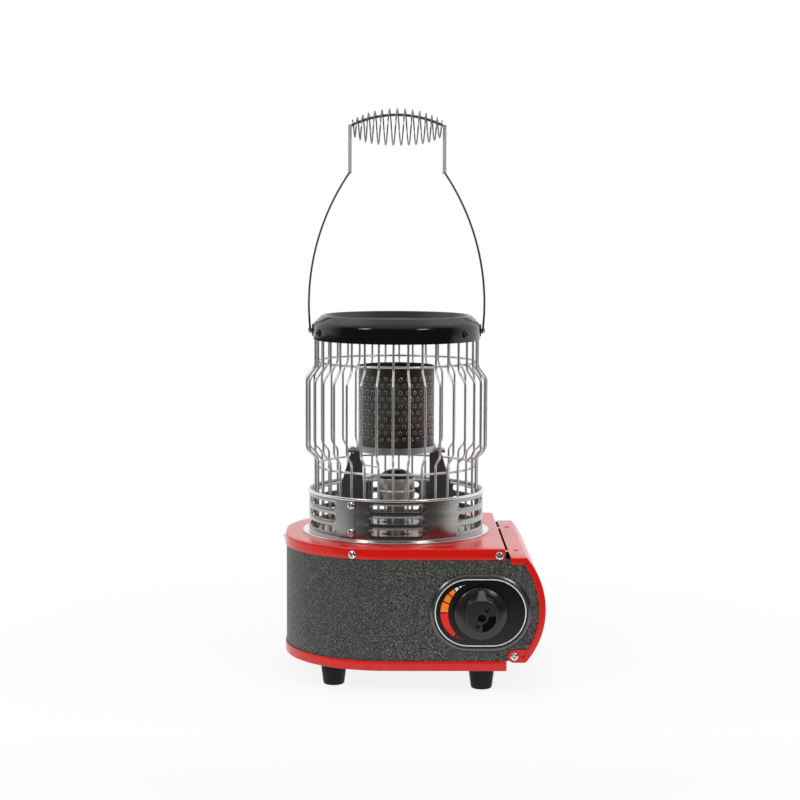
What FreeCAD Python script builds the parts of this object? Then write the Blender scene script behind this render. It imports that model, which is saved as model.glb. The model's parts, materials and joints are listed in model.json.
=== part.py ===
"""Portable butane heater: sheet metal base with a hinged cartridge cover, caged burner and bail handle.

Millimetres, +Z up. Sizes are given from the burner's vertical axis and from the table that the
feet stand on. The finished pieces are moved so that the origin is under the centre of the bounding box.
"""
import FreeCAD
import Part
import math
import os

V = FreeCAD.Vector
X = V(1, 0, 0)
Y = V(0, 1, 0)
Z = V(0, 0, 1)

# Base casing
FOOT_HEIGHT = 22.0
FOOT_TOP_R = 12.7
FOOT_BOTTOM_R = 10.0
BASE_HEIGHT = 116.0
BASE_DEPTH = 220.5
LEFT_REACH = 108.0
CORNER_FLAT = 12.25
DECK_RIGHT = 101.4
SHEET = 0.8
LIP_GAP = 0.3
SAME_POINT = 0.01
DECK_LIP = 10.5
TRAY_LIP = 9.5
DECK_HOLE_R = 62.0
LEFT_FOOT_INSET = (48.5, 43.25)
RIGHT_FOOT_INSET = (20.4, 27.25)

# Cartridge cover and its hinge
COVER_R = 77.0
COVER_CENTRE_X = 62.5
COVER_TOP_DROP = 8.4
COVER_GAP = 4.9
COVER_FLANGE = 7.0
COVER_BEND_R = 3.0
HINGE_SETBACK = 11.2
HINGE_LIFT = 6.0
TAB_R = 6.2
TRAY_CLEARANCE = 0.8
HINGE_PIN_R = 2.0
PIVOT_CLEARANCE = 0.05
RIVET_HEAD_R = 2.4
RIVET_R = 1.2
RIVET_TOP_SHARE = 0.6
RIVET_SETBACK = 42.0
CATCH_GAP = 1.2
CATCH_WIDTH = 8.0
CATCH_DROP = 6.0

# Screws
SCREW_HEAD_R = 4.0
SCREW_HEAD_HEIGHT = 2.2
SCREW_SHANK_R = 1.6
SCREW_LENGTH = 6.0
SCREW_DOME = ((1.0, 0.45), (0.75, 0.9), (0.4, 1.0))
CROSS_ARM_SHARE = 0.55
CROSS_SLOT_SHARE = 0.11
CROSS_FLOOR_SHARE = 0.4
DECK_SCREW_INSETS = (66.7, 5.7)
DECK_SCREW_DROP = 6.4

# Cartridge bay
CARTRIDGE_R = 33.3
CARTRIDGE_LENGTH = 184.0
CARTRIDGE_CLEARANCE = 0.7
PARTITION_X = 36.0
CRADLE_WIDTH = 46.0
CRADLE_RISE = 6.0
CRADLE_PLATE = 1.2
CRADLE_SHARES = (0.25, 0.75)
DRILL_OVERRUN = 1.0

# Control panel
KNOB_X = 78.4
KNOB_HEIGHT = 77.7
DIAL_WIDTH = 86.7
DIAL_HEIGHT = 64.8
DIAL_THICKNESS = 1.2
BEZEL_WIDTH = 3.0
BEZEL_DEPTH = 3.0
KNOB_SKIRT_R = 24.4
KNOB_SKIRT_DEPTH = 4.0
KNOB_SKIRT_SLOPE = 4.9
KNOB_HUB_R = 15.5
KNOB_DRAFT = 1.0
KNOB_DEPTH = 20.0
KNOB_GAP = 3.4
KNOB_BORE_R = 4.0
KNOB_NIB = 1.5
KNOB_EYE_R = 1.6
KNOB_EYE_DEPTH = 6.0
KNOB_EYE_REACH = 8.5
KNOB_EYE_ANGLES = (35.0, 205.0)
GRIP_WIDTH = 9.0
INSERT_SINK = 4.0
SPINDLE_SINK = 5.0
SPINDLE_R = 3.0
SPINDLE_HOLE_R = 4.6
COLLAR_R = 7.6
COLLAR_THICKNESS = 1.5
PRESS_TRAVEL = 2.5

# Gas line
REGULATOR_R = 19.0
REGULATOR_DEPTH = 22.0
SEAT_R = 24.0
SEAT_BORE_R = 15.0
SEAT_DEPTH = 5.0
ELBOW_REACH = 26.0
PIPE_R = 3.0
PIPE_WALL = 0.7
PIPE_SEAT = 5.0
PIPE_BEND_R = 6.0
PIPE_STRAIGHT = 0.4
JET_R = 4.5
JET_LENGTH = 12.0
JET_NOSE = 3.0
JET_BORE_R = 0.6
MIXER_R = 9.0
MIXER_WALL = 1.0
MIXER_BEND_R = 22.0
AIR_GAP = 3.0
FORK_SETBACK = 10.0
FORK_CHEEK = 3.0
NOTCH_WIDTH = 6.0
NOTCH_DEPTH = 4.0

# Burner and emitter, heights from the deck
BURNER_R = 18.2
BURNER_BOTTOM = 31.0
BURNER_HEIGHT = 21.1
BURNER_EDGE = 2.0
GROOVE_RISE = 9.8
GROOVE_DEPTH = 0.8
BURNER_WALL = 1.5
DOME_RISE = 8.0
DOME_SPIGOT = 2.5
DOME_OUTSIDE = ((0.0, 1.0), (0.45, 0.9), (0.8, 0.5))
DOME_INSIDE = ((0.7, 0.4), (0.0, 0.75))
PORT_GAP = 0.3
PAN_HOLES = 12
PAN_HOLE_R = 5.0
PAN_HOLE_REACH = 37.2
EMITTER_R = 37.0
EMITTER_BOTTOM = 84.0
EMITTER_HEIGHT = 78.6
EMITTER_WALL = 0.6
EMITTER_HOLE_R = 1.3
EMITTER_ROWS = 10
EMITTER_COLUMNS = 32
EMITTER_ROW_PITCH = 6.5
EMITTER_FIRST_ROW = 9.0
LID_SINK = 6.2
LID_EDGE = 2.0
BASE_PLATE_THICKNESS = 1.2
BASE_PLATE_LIP = 5.0
BASE_PLATE_BORE_GAP = 6.0
BASE_PLATE_RIM = 2.0
BASE_PLATE_GRIP = 1.0
EAR_LENGTH = 10.7
EAR_WIDTH = 16.0
EAR_SCREW_SETBACK = 4.35
LEG_INSET = 4.0
LEG_FOOT_SPREAD = 19.7
LEG_TOP_SPREAD = 6.6
LEG_KNEE = 34.0
LEG_THICKNESS = 1.5

# Ignition
IGNITER_R = 6.5
IGNITER_LENGTH = 18.0
IGNITER_TIP = 4.0
IGNITER_RISE = 14.5
ELECTRODE_SLEEVE_R = 2.4
ELECTRODE_SLEEVE_BOTTOM = 14.0
ELECTRODE_SLEEVE_TOP = 56.0
ELECTRODE_SHELF = 22.0
ELECTRODE_WIRE_R = 0.6
ELECTRODE_WIRE_BEND = 3.0
ELECTRODE_WIRE_RISE = 6.0
SPARK_GAP = 1.0
LEAD_R = 1.2
LEAD_CLEARANCE = 0.8
LEAD_ARC_SHARE = 0.45
LEAD_STEPS = ((-23.4, 3.0, 6.0), (-30.0, 15.0, 9.8), (-16.0, 36.0, 8.0))
LEAD_TURN = (24.8, 17.6)
LEAD_RISE = (1.0, 5.6)

# Drip ring, windshield and cage, heights from the deck
DRIP_EDGE = 6.0
DRIP_RIM = 1.6
DRIP_ROLL = 1.8
DRIP_SEAT = 6.0
SHIELD_GAP = 3.9
SHIELD_TOP = 42.2
SHIELD_BEAD_R = 1.2
SLOT_GROUPS = 6
SLOT_SPAN = 49.0
SLOT_WIDTH = 5.8
SLOT_HEIGHTS = (10.3, 21.7, 33.3)
SEAM_ANGLE = -30.0
SEAM_SCREW_HEIGHTS = (9.2, 35.0)
WIRE_R = 1.15
WIRE_BEND = 3.0
CAGE_R = 79.45
CAGE_BULGE = 8.6
BAR_COUNT = 36
BAR_PHASE = -2.5
BULGE_LOW_NECK = 73.1
BULGE_LOW = 80.9
BULGE_HIGH = 150.2
BULGE_HIGH_NECK = 161.9
CAGE_RING_HEIGHTS = (39.0, 64.7, 166.3)
TOP_RING_DROP = 10.9
WELD = 0.2

# Cap
CAP_SHOULDER = 205.4
CAP_SKIRT = 17.3
CAP_RISE = 6.6
CAP_RIM_INSET = 9.6
CAP_RIM_ROLL = 1.2
CAP_WELL_WIDTH = 7.0
CAP_SHELF_DROP = 1.4
CAP_SHELF_WIDTH = 13.0
CAP_HEM = 4.0
CAP_WALL = 1.0
CAP_CROWN = 1.6
CAP_SCREW_ANGLES = (53.0, 173.0, -67.0)
CAP_SCREW_LIFT = 7.9

# Bail handle
BAIL_PIVOT_LIFT = 8.9
BAIL_PIN_R = 1.5
BAIL_GAP = 0.3
BAIL_EAR_WIDTH = 10.0
BAIL_EAR_HEIGHT = 12.0
EAR_PLATE = 0.8
STRIP_THICKNESS = 2.0
STRIP_WIDTH = 7.0
BAIL_BOW_R = 227.0
BAIL_BOW_RISE = 25.0
UPRIGHT_X = 45.8
UPRIGHT_THICKNESS = 3.4
UPRIGHT_RISE = 198.5
GRIP_WIRE_R = 1.4
GRIP_CROWN = 11.0
COIL_WIRE_R = 0.7
COIL_TURNS = 14
COIL_MID_R = 17.6
COIL_END_R = 7.5
COIL_MID_LIFT = 6.0
COIL_END_LIFT = 4.5
COIL_PITCH_SWING = 0.22

# Places worked out from the sizes above
TRAY_Z = FOOT_HEIGHT
DECK_Z = TRAY_Z + BASE_HEIGHT
FLOOR_Z = TRAY_Z + SHEET
DRIP_Z = DECK_Z + SHEET
PAN_Z = DRIP_Z + SHEET
FRONT = BASE_DEPTH / 2
LEFT = -LEFT_REACH
CORNER_R = FRONT - CORNER_FLAT
CORNER_SETBACK = LEFT_REACH - CORNER_R
BAND_INSET = SHEET + LIP_GAP
BAND_FRONT = FRONT - BAND_INSET
BAY_FRONT = BAND_FRONT - SHEET
COVER_TOP = DECK_Z - COVER_TOP_DROP
COVER_LEFT = DECK_RIGHT + COVER_GAP
COVER_BOTTOM = TRAY_Z + COVER_TOP_DROP
COVER_CENTRE_Z = (COVER_TOP + COVER_BOTTOM) / 2
COVER_CORNER_X = COVER_CENTRE_X + math.sqrt(COVER_R ** 2 - (COVER_TOP - COVER_CENTRE_Z) ** 2)
HINGE_X = COVER_CORNER_X - HINGE_SETBACK
HINGE_Z = COVER_BOTTOM + HINGE_LIFT
TRAY_RIGHT = HINGE_X - TAB_R - TRAY_CLEARANCE
REGULATOR_FRONT = -BAY_FRONT
REGULATOR_BACK = REGULATOR_FRONT + REGULATOR_DEPTH
SEAT_BACK = REGULATOR_BACK + SEAT_DEPTH
GAS_Y = (REGULATOR_FRONT + REGULATOR_BACK) / 2
JET_Y = GAS_Y + PIPE_BEND_R + PIPE_STRAIGHT
MIXER_Y = JET_Y + JET_LENGTH + AIR_GAP
BURNER_Z = DECK_Z + BURNER_BOTTOM
DOME_Z = BURNER_Z + BURNER_HEIGHT
EMITTER_Z = DECK_Z + EMITTER_BOTTOM
EMITTER_TOP_Z = EMITTER_Z + EMITTER_HEIGHT
BASE_PLATE_Z = EMITTER_Z - BASE_PLATE_LIP
EAR_REACH = EMITTER_R + EAR_LENGTH
EAR_SCREW_X = EAR_REACH - EAR_SCREW_SETBACK
LEG_INNER_X = EMITTER_R - LEG_INSET
LEG_TOP_X = EMITTER_R + LEG_TOP_SPREAD
LEG_FOOT_X = EMITTER_R + LEG_FOOT_SPREAD
LEG_BOLT_X = (LEG_INNER_X + LEG_FOOT_X) / 2
LEG_BOLT_Y = -EAR_WIDTH / 6
SHIELD_R = CAGE_R + WIRE_R + SHIELD_GAP + SHEET
DRIP_R = SHIELD_R + DRIP_EDGE
DRIP_BORE_R = DECK_HOLE_R - DRIP_SEAT
CAP_R = CAGE_R + WIRE_R + CAP_WALL
CAP_RIM_R = CAP_R - CAP_RIM_INSET
CAP_SHELF_R = CAP_RIM_R - CAP_WELL_WIDTH
CAP_OPENING_R = CAP_SHELF_R - CAP_SHELF_WIDTH
SHOULDER_Z = DECK_Z + CAP_SHOULDER
CAP_BOTTOM_Z = SHOULDER_Z - CAP_SKIRT
CAP_TOP_Z = SHOULDER_Z + CAP_RISE
SHELF_Z = SHOULDER_Z - CAP_SHELF_DROP
CAP_UNDER = SHOULDER_Z - CAP_WALL
CAP_SCREW_Z = CAP_BOTTOM_Z + CAP_SCREW_LIFT
PIVOT_Z = CAP_BOTTOM_Z + BAIL_PIVOT_LIFT
EAR_FACE = CAP_R + EAR_PLATE
STRIP_INNER = EAR_FACE + BAIL_GAP
BOW_INNER_R = BAIL_BOW_R - STRIP_THICKNESS
BOW_SWELL = BOW_INNER_R - math.sqrt(BOW_INNER_R ** 2 - (BAIL_BOW_RISE + STRIP_WIDTH / 2) ** 2)
BAIL_BOW_X = STRIP_INNER + STRIP_THICKNESS + BOW_SWELL
PANEL_FACE = -BAND_FRONT
DIAL_FACE = PANEL_FACE - DIAL_THICKNESS
KNOB_BACK = DIAL_FACE - KNOB_GAP
KNOB_FACE = KNOB_BACK - KNOB_DEPTH

def block(x0, x1, y0, y1, z0, z1):
    """A box between two corners."""
    return Part.makeBox(x1 - x0, y1 - y0, z1 - z0, V(x0, y0, z0))


def rod(radius, start, end):
    """A round rod from one point to another."""
    way = end - start
    return Part.makeCylinder(radius, way.Length, start, way)


def pipe(outer, inner, start, end):
    """A round tube from one point to another."""
    return rod(outer, start, end).cut(rod(inner, start, end))


def turned(points, axis_point=V(0, 0, 0), axis=Z):
    """A solid of revolution of a closed outline of (radius, height) points, standing on axis_point."""
    outline = Part.makePolygon([V(r, 0, z) for r, z in points + [points[0]]])
    solid = Part.Face(outline).revolve(V(0, 0, 0), Z, 360)
    turn = FreeCAD.Rotation(Z, axis)
    solid.Placement = FreeCAD.Placement(axis_point, turn)
    return solid


def spun(shape, angle, axis_point=V(0, 0, 0), axis=Z):
    """A copy of a shape turned about an axis by an angle in degrees."""
    copy = shape.copy()
    copy.rotate(axis_point, axis, angle)
    return copy


def mirrored_back(shape):
    """The shape's mirror image across the plane between the front and the back."""
    return shape.mirror(V(0, 0, 0), Y)


def mirrored_side(shape):
    """The shape's mirror image across the plane between the left and the right of the burner."""
    return shape.mirror(V(0, 0, 0), X)


def extruded(points, way):
    """A flat polygon carried along a vector."""
    return Part.Face(Part.makePolygon(points + [points[0]])).extrude(way)


def rounded_route(points, radius):
    """A wire of straight runs joined by tangent arcs of one radius."""
    edges = []
    start = points[0]
    for before, corner, after in zip(points, points[1:], points[2:]):
        back = (before - corner).normalize()
        ahead = (after - corner).normalize()
        turn = math.pi - back.getAngle(ahead)
        reach = radius * math.tan(turn / 2)
        enter = corner + back * reach
        leave = corner + ahead * reach
        inward = (back + ahead).normalize()
        middle = corner + inward * (radius / math.cos(turn / 2) - radius)
        edges.append(Part.LineSegment(start, enter).toShape())
        edges.append(Part.Arc(enter, middle, leave).toShape())
        start = leave
    edges.append(Part.LineSegment(start, points[-1]).toShape())
    return Part.Wire(edges)


def swept_wire(points, radius, bend):
    """A round wire along straight runs joined by arcs."""
    route = rounded_route(points, bend)
    way = points[1] - points[0]
    section = Part.Wire(Part.makeCircle(radius, points[0], way))
    return Part.Wire(route).makePipeShell([section], True, True)


def plan_face(inset, right):
    """The base's outline seen from above: round at the left, square at the right."""
    radius = CORNER_R - inset
    front = FRONT - inset
    cx = -CORNER_SETBACK
    cy = front - radius
    diagonal = radius * math.sqrt(0.5)
    edges = [
        Part.LineSegment(V(right, -front, 0), V(cx, -front, 0)).toShape(),
        Part.Arc(V(cx, -front, 0), V(cx - diagonal, -cy - diagonal, 0), V(cx - radius, -cy, 0)).toShape(),
        Part.LineSegment(V(cx - radius, -cy, 0), V(cx - radius, cy, 0)).toShape(),
        Part.Arc(V(cx - radius, cy, 0), V(cx - diagonal, cy + diagonal, 0), V(cx, front, 0)).toShape(),
        Part.LineSegment(V(cx, front, 0), V(right, front, 0)).toShape(),
        Part.LineSegment(V(right, front, 0), V(right, -front, 0)).toShape(),
    ]
    return Part.Face(Part.Wire(edges))


def plan_slab(inset, right, z0, z1):
    """The base's outline as a slab between two heights."""
    slab = plan_face(inset, right).extrude(V(0, 0, z1 - z0))
    slab.translate(V(0, 0, z0))
    return slab


def cover_slab(inset, left, y0, y1):
    """The cover's end outline, flat on top and below with a round outer side, as a slab along Y."""
    radius = COVER_R - inset
    top = COVER_TOP - inset
    bottom = COVER_BOTTOM + inset
    corner = COVER_CENTRE_X + math.sqrt(radius ** 2 - (top - COVER_CENTRE_Z) ** 2)
    bulge = COVER_CENTRE_X + radius
    edges = [
        Part.LineSegment(V(left, y0, top), V(corner, y0, top)).toShape(),
        Part.Arc(V(corner, y0, top), V(bulge, y0, COVER_CENTRE_Z), V(corner, y0, bottom)).toShape(),
        Part.LineSegment(V(corner, y0, bottom), V(left, y0, bottom)).toShape(),
        Part.LineSegment(V(left, y0, bottom), V(left, y0, top)).toShape(),
    ]
    slab = Part.Face(Part.Wire(edges)).extrude(V(0, y1 - y0, 0))
    ridge = [e for e in slab.Edges if lies_along_y(e, corner, top)]
    return slab.makeFillet(COVER_BEND_R, ridge)


def lies_along_y(edge, x, z):
    """True for the straight edge along Y that passes through the point (x, z)."""
    return all(abs(v.X - x) < SAME_POINT and abs(v.Z - z) < SAME_POINT for v in edge.Vertexes)


def stadium_slab(width, height, y0, y1):
    """A slab along Y with straight top and bottom and half-round ends, centred on the knob."""
    radius = height / 2
    half = width / 2 - radius
    core = block(KNOB_X - half, KNOB_X + half, y0, y1, KNOB_HEIGHT - radius, KNOB_HEIGHT + radius)
    ends = [rod(radius, V(KNOB_X + s * half, y0, KNOB_HEIGHT), V(KNOB_X + s * half, y1, KNOB_HEIGHT))
            for s in (-1, 1)]
    return core.fuse(ends).removeSplitter()


def pan_screw(point, way, length=SCREW_LENGTH):
    """A cross recess pan head screw: the head stands out from point along way, the shank goes in."""
    outline = [(SCREW_HEAD_R * across, SCREW_HEAD_HEIGHT * up) for across, up in SCREW_DOME]
    dome = turned([(0, 0), (SCREW_HEAD_R, 0)] + outline + [(0, SCREW_HEAD_HEIGHT)])
    shank = rod(SCREW_SHANK_R, V(0, 0, -length), V(0, 0, 0))
    arm = SCREW_HEAD_R * CROSS_ARM_SHARE
    slot = SCREW_HEAD_R * CROSS_SLOT_SHARE
    floor = SCREW_HEAD_HEIGHT * CROSS_FLOOR_SHARE
    cross = block(-arm, arm, -slot, slot, floor, SCREW_HEAD_HEIGHT).fuse(
        block(-slot, slot, -arm, arm, floor, SCREW_HEAD_HEIGHT))
    screw = dome.cut(cross).fuse(shank)
    screw.Placement = FreeCAD.Placement(point, FreeCAD.Rotation(Z, way))
    return screw


def polar(radius, angle, z):
    """A point at a radius and an angle, counted from the front towards the right."""
    turn = math.radians(angle)
    return V(radius * math.sin(turn), -radius * math.cos(turn), z)


def outward(angle):
    """The level direction away from the burner's axis at an angle counted from the front."""
    return polar(1.0, angle, 0.0)


# Base casing
def foot_places():
    """The four feet's centres: the front pair and their mirror images at the back."""
    left = (LEFT + LEFT_FOOT_INSET[0], FRONT - LEFT_FOOT_INSET[1])
    right = (DECK_RIGHT - RIGHT_FOOT_INSET[0], FRONT - RIGHT_FOOT_INSET[1])
    return [(x, side * y) for x, y in (left, right) for side in (-1, 1)]


def foot_screws():
    """A screw through the tray's floor down into each foot."""
    return [pan_screw(V(x, y, FLOOR_Z), Z, FOOT_HEIGHT / 2) for x, y in foot_places()]


def rubber_feet():
    """Four tapered feet under the tray, drilled for their screws."""
    feet = []
    for x, y in foot_places():
        foot = Part.makeCone(FOOT_BOTTOM_R, FOOT_TOP_R, FOOT_HEIGHT, V(x, y, 0))
        feet.append(foot.cut(rod(SCREW_SHANK_R, V(x, y, FOOT_HEIGHT / 3), V(x, y, FOOT_HEIGHT))))
    return feet


def base_tray():
    """The floor of the base with its lip turned up outside the band."""
    outer = plan_slab(0, TRAY_RIGHT, TRAY_Z, TRAY_Z + TRAY_LIP)
    tray = outer.cut(plan_slab(SHEET, TRAY_RIGHT + SHEET, FLOOR_Z, TRAY_Z + TRAY_LIP))
    for x, y in foot_places():
        tray = tray.cut(rod(SCREW_SHANK_R, V(x, y, TRAY_Z), V(x, y, FLOOR_Z)))
    return tray


def side_band():
    """The wrapped side: front panel, rounded left end and back panel, cut round at the cover."""
    right = COVER_CENTRE_X + COVER_R
    band = plan_slab(BAND_INSET, right, FLOOR_Z, DECK_Z - SHEET).cut(
        plan_slab(BAND_INSET + SHEET, right + SHEET, FLOOR_Z, DECK_Z - SHEET))
    keep = block(LEFT, DECK_RIGHT - SHEET, -FRONT, FRONT, FLOOR_Z, DECK_Z)
    round_end = cover_slab(SHEET + LIP_GAP, 0, -FRONT, FRONT)
    low_corner = block(TRAY_RIGHT, right, -FRONT, FRONT, FLOOR_Z, TRAY_Z + TRAY_LIP + LIP_GAP)
    fold = block(DECK_RIGHT - SHEET, DECK_RIGHT, -FRONT, FRONT, DECK_Z - DECK_LIP, DECK_Z)
    band = band.common(keep.fuse(round_end)).cut(low_corner).cut(fold)
    front_hole = rod(SPINDLE_HOLE_R, V(KNOB_X, -FRONT, KNOB_HEIGHT), V(KNOB_X, 0, KNOB_HEIGHT))
    pins = rod(HINGE_PIN_R, V(HINGE_X, -FRONT, HINGE_Z), V(HINGE_X, FRONT, HINGE_Z))
    return cut_lip_screw_holes(band.cut(front_hole).cut(pins))


def lip_screw_seats():
    """Where the deck's lip is screwed to the band: front, back and the left end."""
    z = DECK_Z - DECK_SCREW_DROP
    places = (LEFT + DECK_SCREW_INSETS[0], DECK_RIGHT - DECK_SCREW_INSETS[1])
    seats = [(V(x, side * FRONT, z), V(0, side, 0)) for x in places for side in (-1, 1)]
    seats.append((V(LEFT, 0, z), V(-1, 0, 0)))
    return seats


def cut_lip_screw_holes(shape):
    """Holes for the lip screws."""
    for point, way in lip_screw_seats():
        shape = shape.cut(rod(SCREW_SHANK_R, point, point - way * SCREW_LENGTH))
    return shape


def deck_screws():
    """The pan head screws in the deck's lip."""
    return [pan_screw(point, way) for point, way in lip_screw_seats()]


def deck():
    """The top plate with its lip turned down outside the band and a fold at the cover's edge."""
    outer = plan_slab(0, DECK_RIGHT, DECK_Z - DECK_LIP, DECK_Z)
    hollow = plan_slab(SHEET, DECK_RIGHT - SHEET, DECK_Z - DECK_LIP, DECK_Z - SHEET)
    hole = rod(DECK_HOLE_R, V(0, 0, DECK_Z - SHEET), V(0, 0, DECK_Z))
    return cut_lip_screw_holes(outer.cut(hollow).cut(hole))


def bay_partition():
    """The upright wall that keeps the burner's heat out of the cartridge bay."""
    wall = block(PARTITION_X, PARTITION_X + SHEET, -BAY_FRONT, BAY_FRONT, FLOOR_Z, DECK_Z - SHEET)
    left = PARTITION_X - DRILL_OVERRUN
    right = PARTITION_X + SHEET + DRILL_OVERRUN
    gas_hole = rod(PIPE_R + LIP_GAP, V(left, GAS_Y, KNOB_HEIGHT), V(right, GAS_Y, KNOB_HEIGHT))
    lead_hole = rod(LEAD_R + LEAD_CLEARANCE, igniter_axis(left), igniter_axis(right))
    return wall.cut(gas_hole).cut(lead_hole)


def cartridge_cradle():
    """Two low saddles on a base strip, which carry the cartridge in line with the regulator."""
    top = KNOB_HEIGHT - CARTRIDGE_R - CARTRIDGE_CLEARANCE + CRADLE_RISE
    low, high = (SEAT_BACK + CARTRIDGE_LENGTH * share for share in CRADLE_SHARES)
    half = CRADLE_WIDTH / 2
    strip = block(KNOB_X - half, KNOB_X + half, low, high, FLOOR_Z, FLOOR_Z + CRADLE_PLATE)
    saddles = [block(KNOB_X - half, KNOB_X + half, y, y + CRADLE_PLATE, FLOOR_Z, top)
               for y in (low, high - CRADLE_PLATE)]
    body = rod(CARTRIDGE_R + CARTRIDGE_CLEARANCE, V(KNOB_X, -FRONT, KNOB_HEIGHT),
               V(KNOB_X, FRONT, KNOB_HEIGHT))
    return strip.fuse(saddles).cut(body)


# Cartridge cover
def cartridge_cover():
    """The curved door over the bay, with flanges and hinge tabs at both ends."""
    skin = cover_slab(0, COVER_LEFT, -FRONT, FRONT).cut(
        cover_slab(SHEET, COVER_LEFT - SHEET, -FRONT, FRONT))
    low = (COVER_LEFT - TAB_R, HINGE_X + TAB_R, -FRONT, FRONT)
    skin = skin.cut(block(*low, COVER_BOTTOM - SHEET, COVER_BOTTOM + SHEET * 2))
    flange = cover_flange(-FRONT, -FRONT + SHEET)
    cover = skin.fuse([flange, mirrored_back(flange)])
    pivot = rod(HINGE_PIN_R + PIVOT_CLEARANCE, V(HINGE_X, -FRONT, HINGE_Z), V(HINGE_X, FRONT, HINGE_Z))
    return cut_rivet_holes(cover.cut(pivot).removeSplitter())


def cover_flange(y0, y1):
    """The front flange: a band that follows the outline and ends in a round tab at the hinge."""
    outer = cover_slab(0, COVER_LEFT, y0, y1)
    inner = cover_slab(COVER_FLANGE, COVER_LEFT - SHEET, y0, y1)
    band = outer.cut(inner).cut(
        block(COVER_LEFT - TAB_R, HINGE_X, y0, y1, COVER_BOTTOM - SHEET, COVER_CENTRE_Z))
    reach = COVER_CENTRE_X + COVER_R
    web = outer.common(block(HINGE_X, reach, y0, y1, HINGE_Z - TAB_R, HINGE_Z + TAB_R))
    disc = rod(TAB_R, V(HINGE_X, y0, HINGE_Z), V(HINGE_X, y1, HINGE_Z))
    return band.fuse([web, disc])


def cover_dimple_places():
    """Two fixing points on the cover's flat top, near the front and behind the middle."""
    x = (COVER_LEFT + COVER_CORNER_X) / 2
    return [V(x, side * (FRONT - RIVET_SETBACK), COVER_TOP) for side in (-1, 1)]


def cut_rivet_holes(shape):
    """Holes for the catch's two rivets."""
    for place in cover_dimple_places():
        shape = shape.cut(rod(RIVET_R, place - V(0, 0, 2 * SHEET), place))
    return shape


def cover_rivets():
    """Low rivets that hold the catch spring under the cover's flat top."""
    head = [(0, 0), (RIVET_HEAD_R, 0), (RIVET_HEAD_R * RIVET_TOP_SHARE, SHEET), (0, SHEET)]
    return [turned(head, place).fuse(rod(RIVET_R, place - V(0, 0, 2 * SHEET), place))
            for place in cover_dimple_places()]


def cover_catch():
    """A spring strip under the cover's top, with a turned down tongue in the gap at each end."""
    first, last = cover_dimple_places()
    top = COVER_TOP - SHEET
    half = RIVET_HEAD_R + SHEET
    left = DECK_RIGHT + CATCH_GAP
    strip = block(COVER_LEFT, first.x + half, first.y - half, last.y + half, top - SHEET, top)
    parts = []
    for y in (first.y - half, last.y + half - CATCH_WIDTH):
        parts.append(block(left, COVER_LEFT, y, y + CATCH_WIDTH, top - SHEET, top))
        parts.append(block(left, left + SHEET, y, y + CATCH_WIDTH, top - CATCH_DROP, top))
    return cut_rivet_holes(strip.fuse(parts).removeSplitter())


def cover_pivot_screws():
    """Shouldered screws in the front and back panels, on which the cover turns."""
    screws = []
    for side in (-1, 1):
        face = V(HINGE_X, side * (FRONT + LIP_GAP), HINGE_Z)
        screw = pan_screw(face, V(0, side, 0), SHEET + BAND_INSET)
        shoulder = rod(HINGE_PIN_R, face, V(HINGE_X, side * (BAY_FRONT - SCREW_LENGTH / 2), HINGE_Z))
        nut = rod(SCREW_HEAD_R, V(HINGE_X, side * BAY_FRONT, HINGE_Z),
                  V(HINGE_X, side * (BAY_FRONT - SCREW_HEAD_HEIGHT), HINGE_Z))
        screws.append(screw.fuse([shoulder, nut]).removeSplitter())
    return screws


# Control panel and gas line
def control_bezel():
    """The raised black frame around the dial."""
    outer = stadium_slab(DIAL_WIDTH + 2 * BEZEL_WIDTH, DIAL_HEIGHT + 2 * BEZEL_WIDTH,
                         PANEL_FACE - BEZEL_DEPTH, PANEL_FACE)
    return outer.cut(stadium_slab(DIAL_WIDTH, DIAL_HEIGHT, PANEL_FACE - BEZEL_DEPTH, PANEL_FACE))


def dial_plate():
    """The flat dial inside the frame, with a hole for the spindle."""
    plate = stadium_slab(DIAL_WIDTH, DIAL_HEIGHT, DIAL_FACE, PANEL_FACE)
    return plate.cut(rod(SPINDLE_HOLE_R, V(KNOB_X, DIAL_FACE, KNOB_HEIGHT),
                         V(KNOB_X, PANEL_FACE, KNOB_HEIGHT)))


def knob_axis(y):
    """The point of the knob's axis at a depth."""
    return V(KNOB_X, y, KNOB_HEIGHT)


def knob():
    """The control knob: a coned skirt, a round hub, a grip rib, a bore and two small eyes in its face."""
    skirt = Part.makeCone(KNOB_SKIRT_R, KNOB_SKIRT_R - KNOB_SKIRT_SLOPE, KNOB_SKIRT_DEPTH,
                          knob_axis(KNOB_BACK), -Y)
    hub = Part.makeCone(KNOB_HUB_R + KNOB_DRAFT, KNOB_HUB_R, KNOB_DEPTH, knob_axis(KNOB_BACK), -Y)
    left = KNOB_X - GRIP_WIDTH / 2
    front = KNOB_BACK - KNOB_SKIRT_DEPTH
    nib = KNOB_HEIGHT + KNOB_SKIRT_R + KNOB_NIB
    rib = extruded([
        V(left, KNOB_BACK, KNOB_HEIGHT - KNOB_SKIRT_R),
        V(left, KNOB_BACK, nib),
        V(left, front, nib),
        V(left, KNOB_FACE, KNOB_HEIGHT + KNOB_HUB_R),
        V(left, KNOB_FACE, KNOB_HEIGHT - KNOB_HUB_R),
        V(left, front, KNOB_HEIGHT - KNOB_SKIRT_R)], X * GRIP_WIDTH)
    body = skirt.fuse([hub, rib]).cut(rod(KNOB_BORE_R, knob_axis(KNOB_BACK), knob_axis(KNOB_FACE)))
    for angle in KNOB_EYE_ANGLES:
        turn = math.radians(angle)
        side = V(KNOB_EYE_REACH * math.sin(turn), 0, KNOB_EYE_REACH * math.cos(turn))
        mouth = knob_axis(KNOB_FACE) + side
        body = body.cut(rod(KNOB_EYE_R, mouth, mouth + Y * KNOB_EYE_DEPTH))
    return body.removeSplitter()


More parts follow.
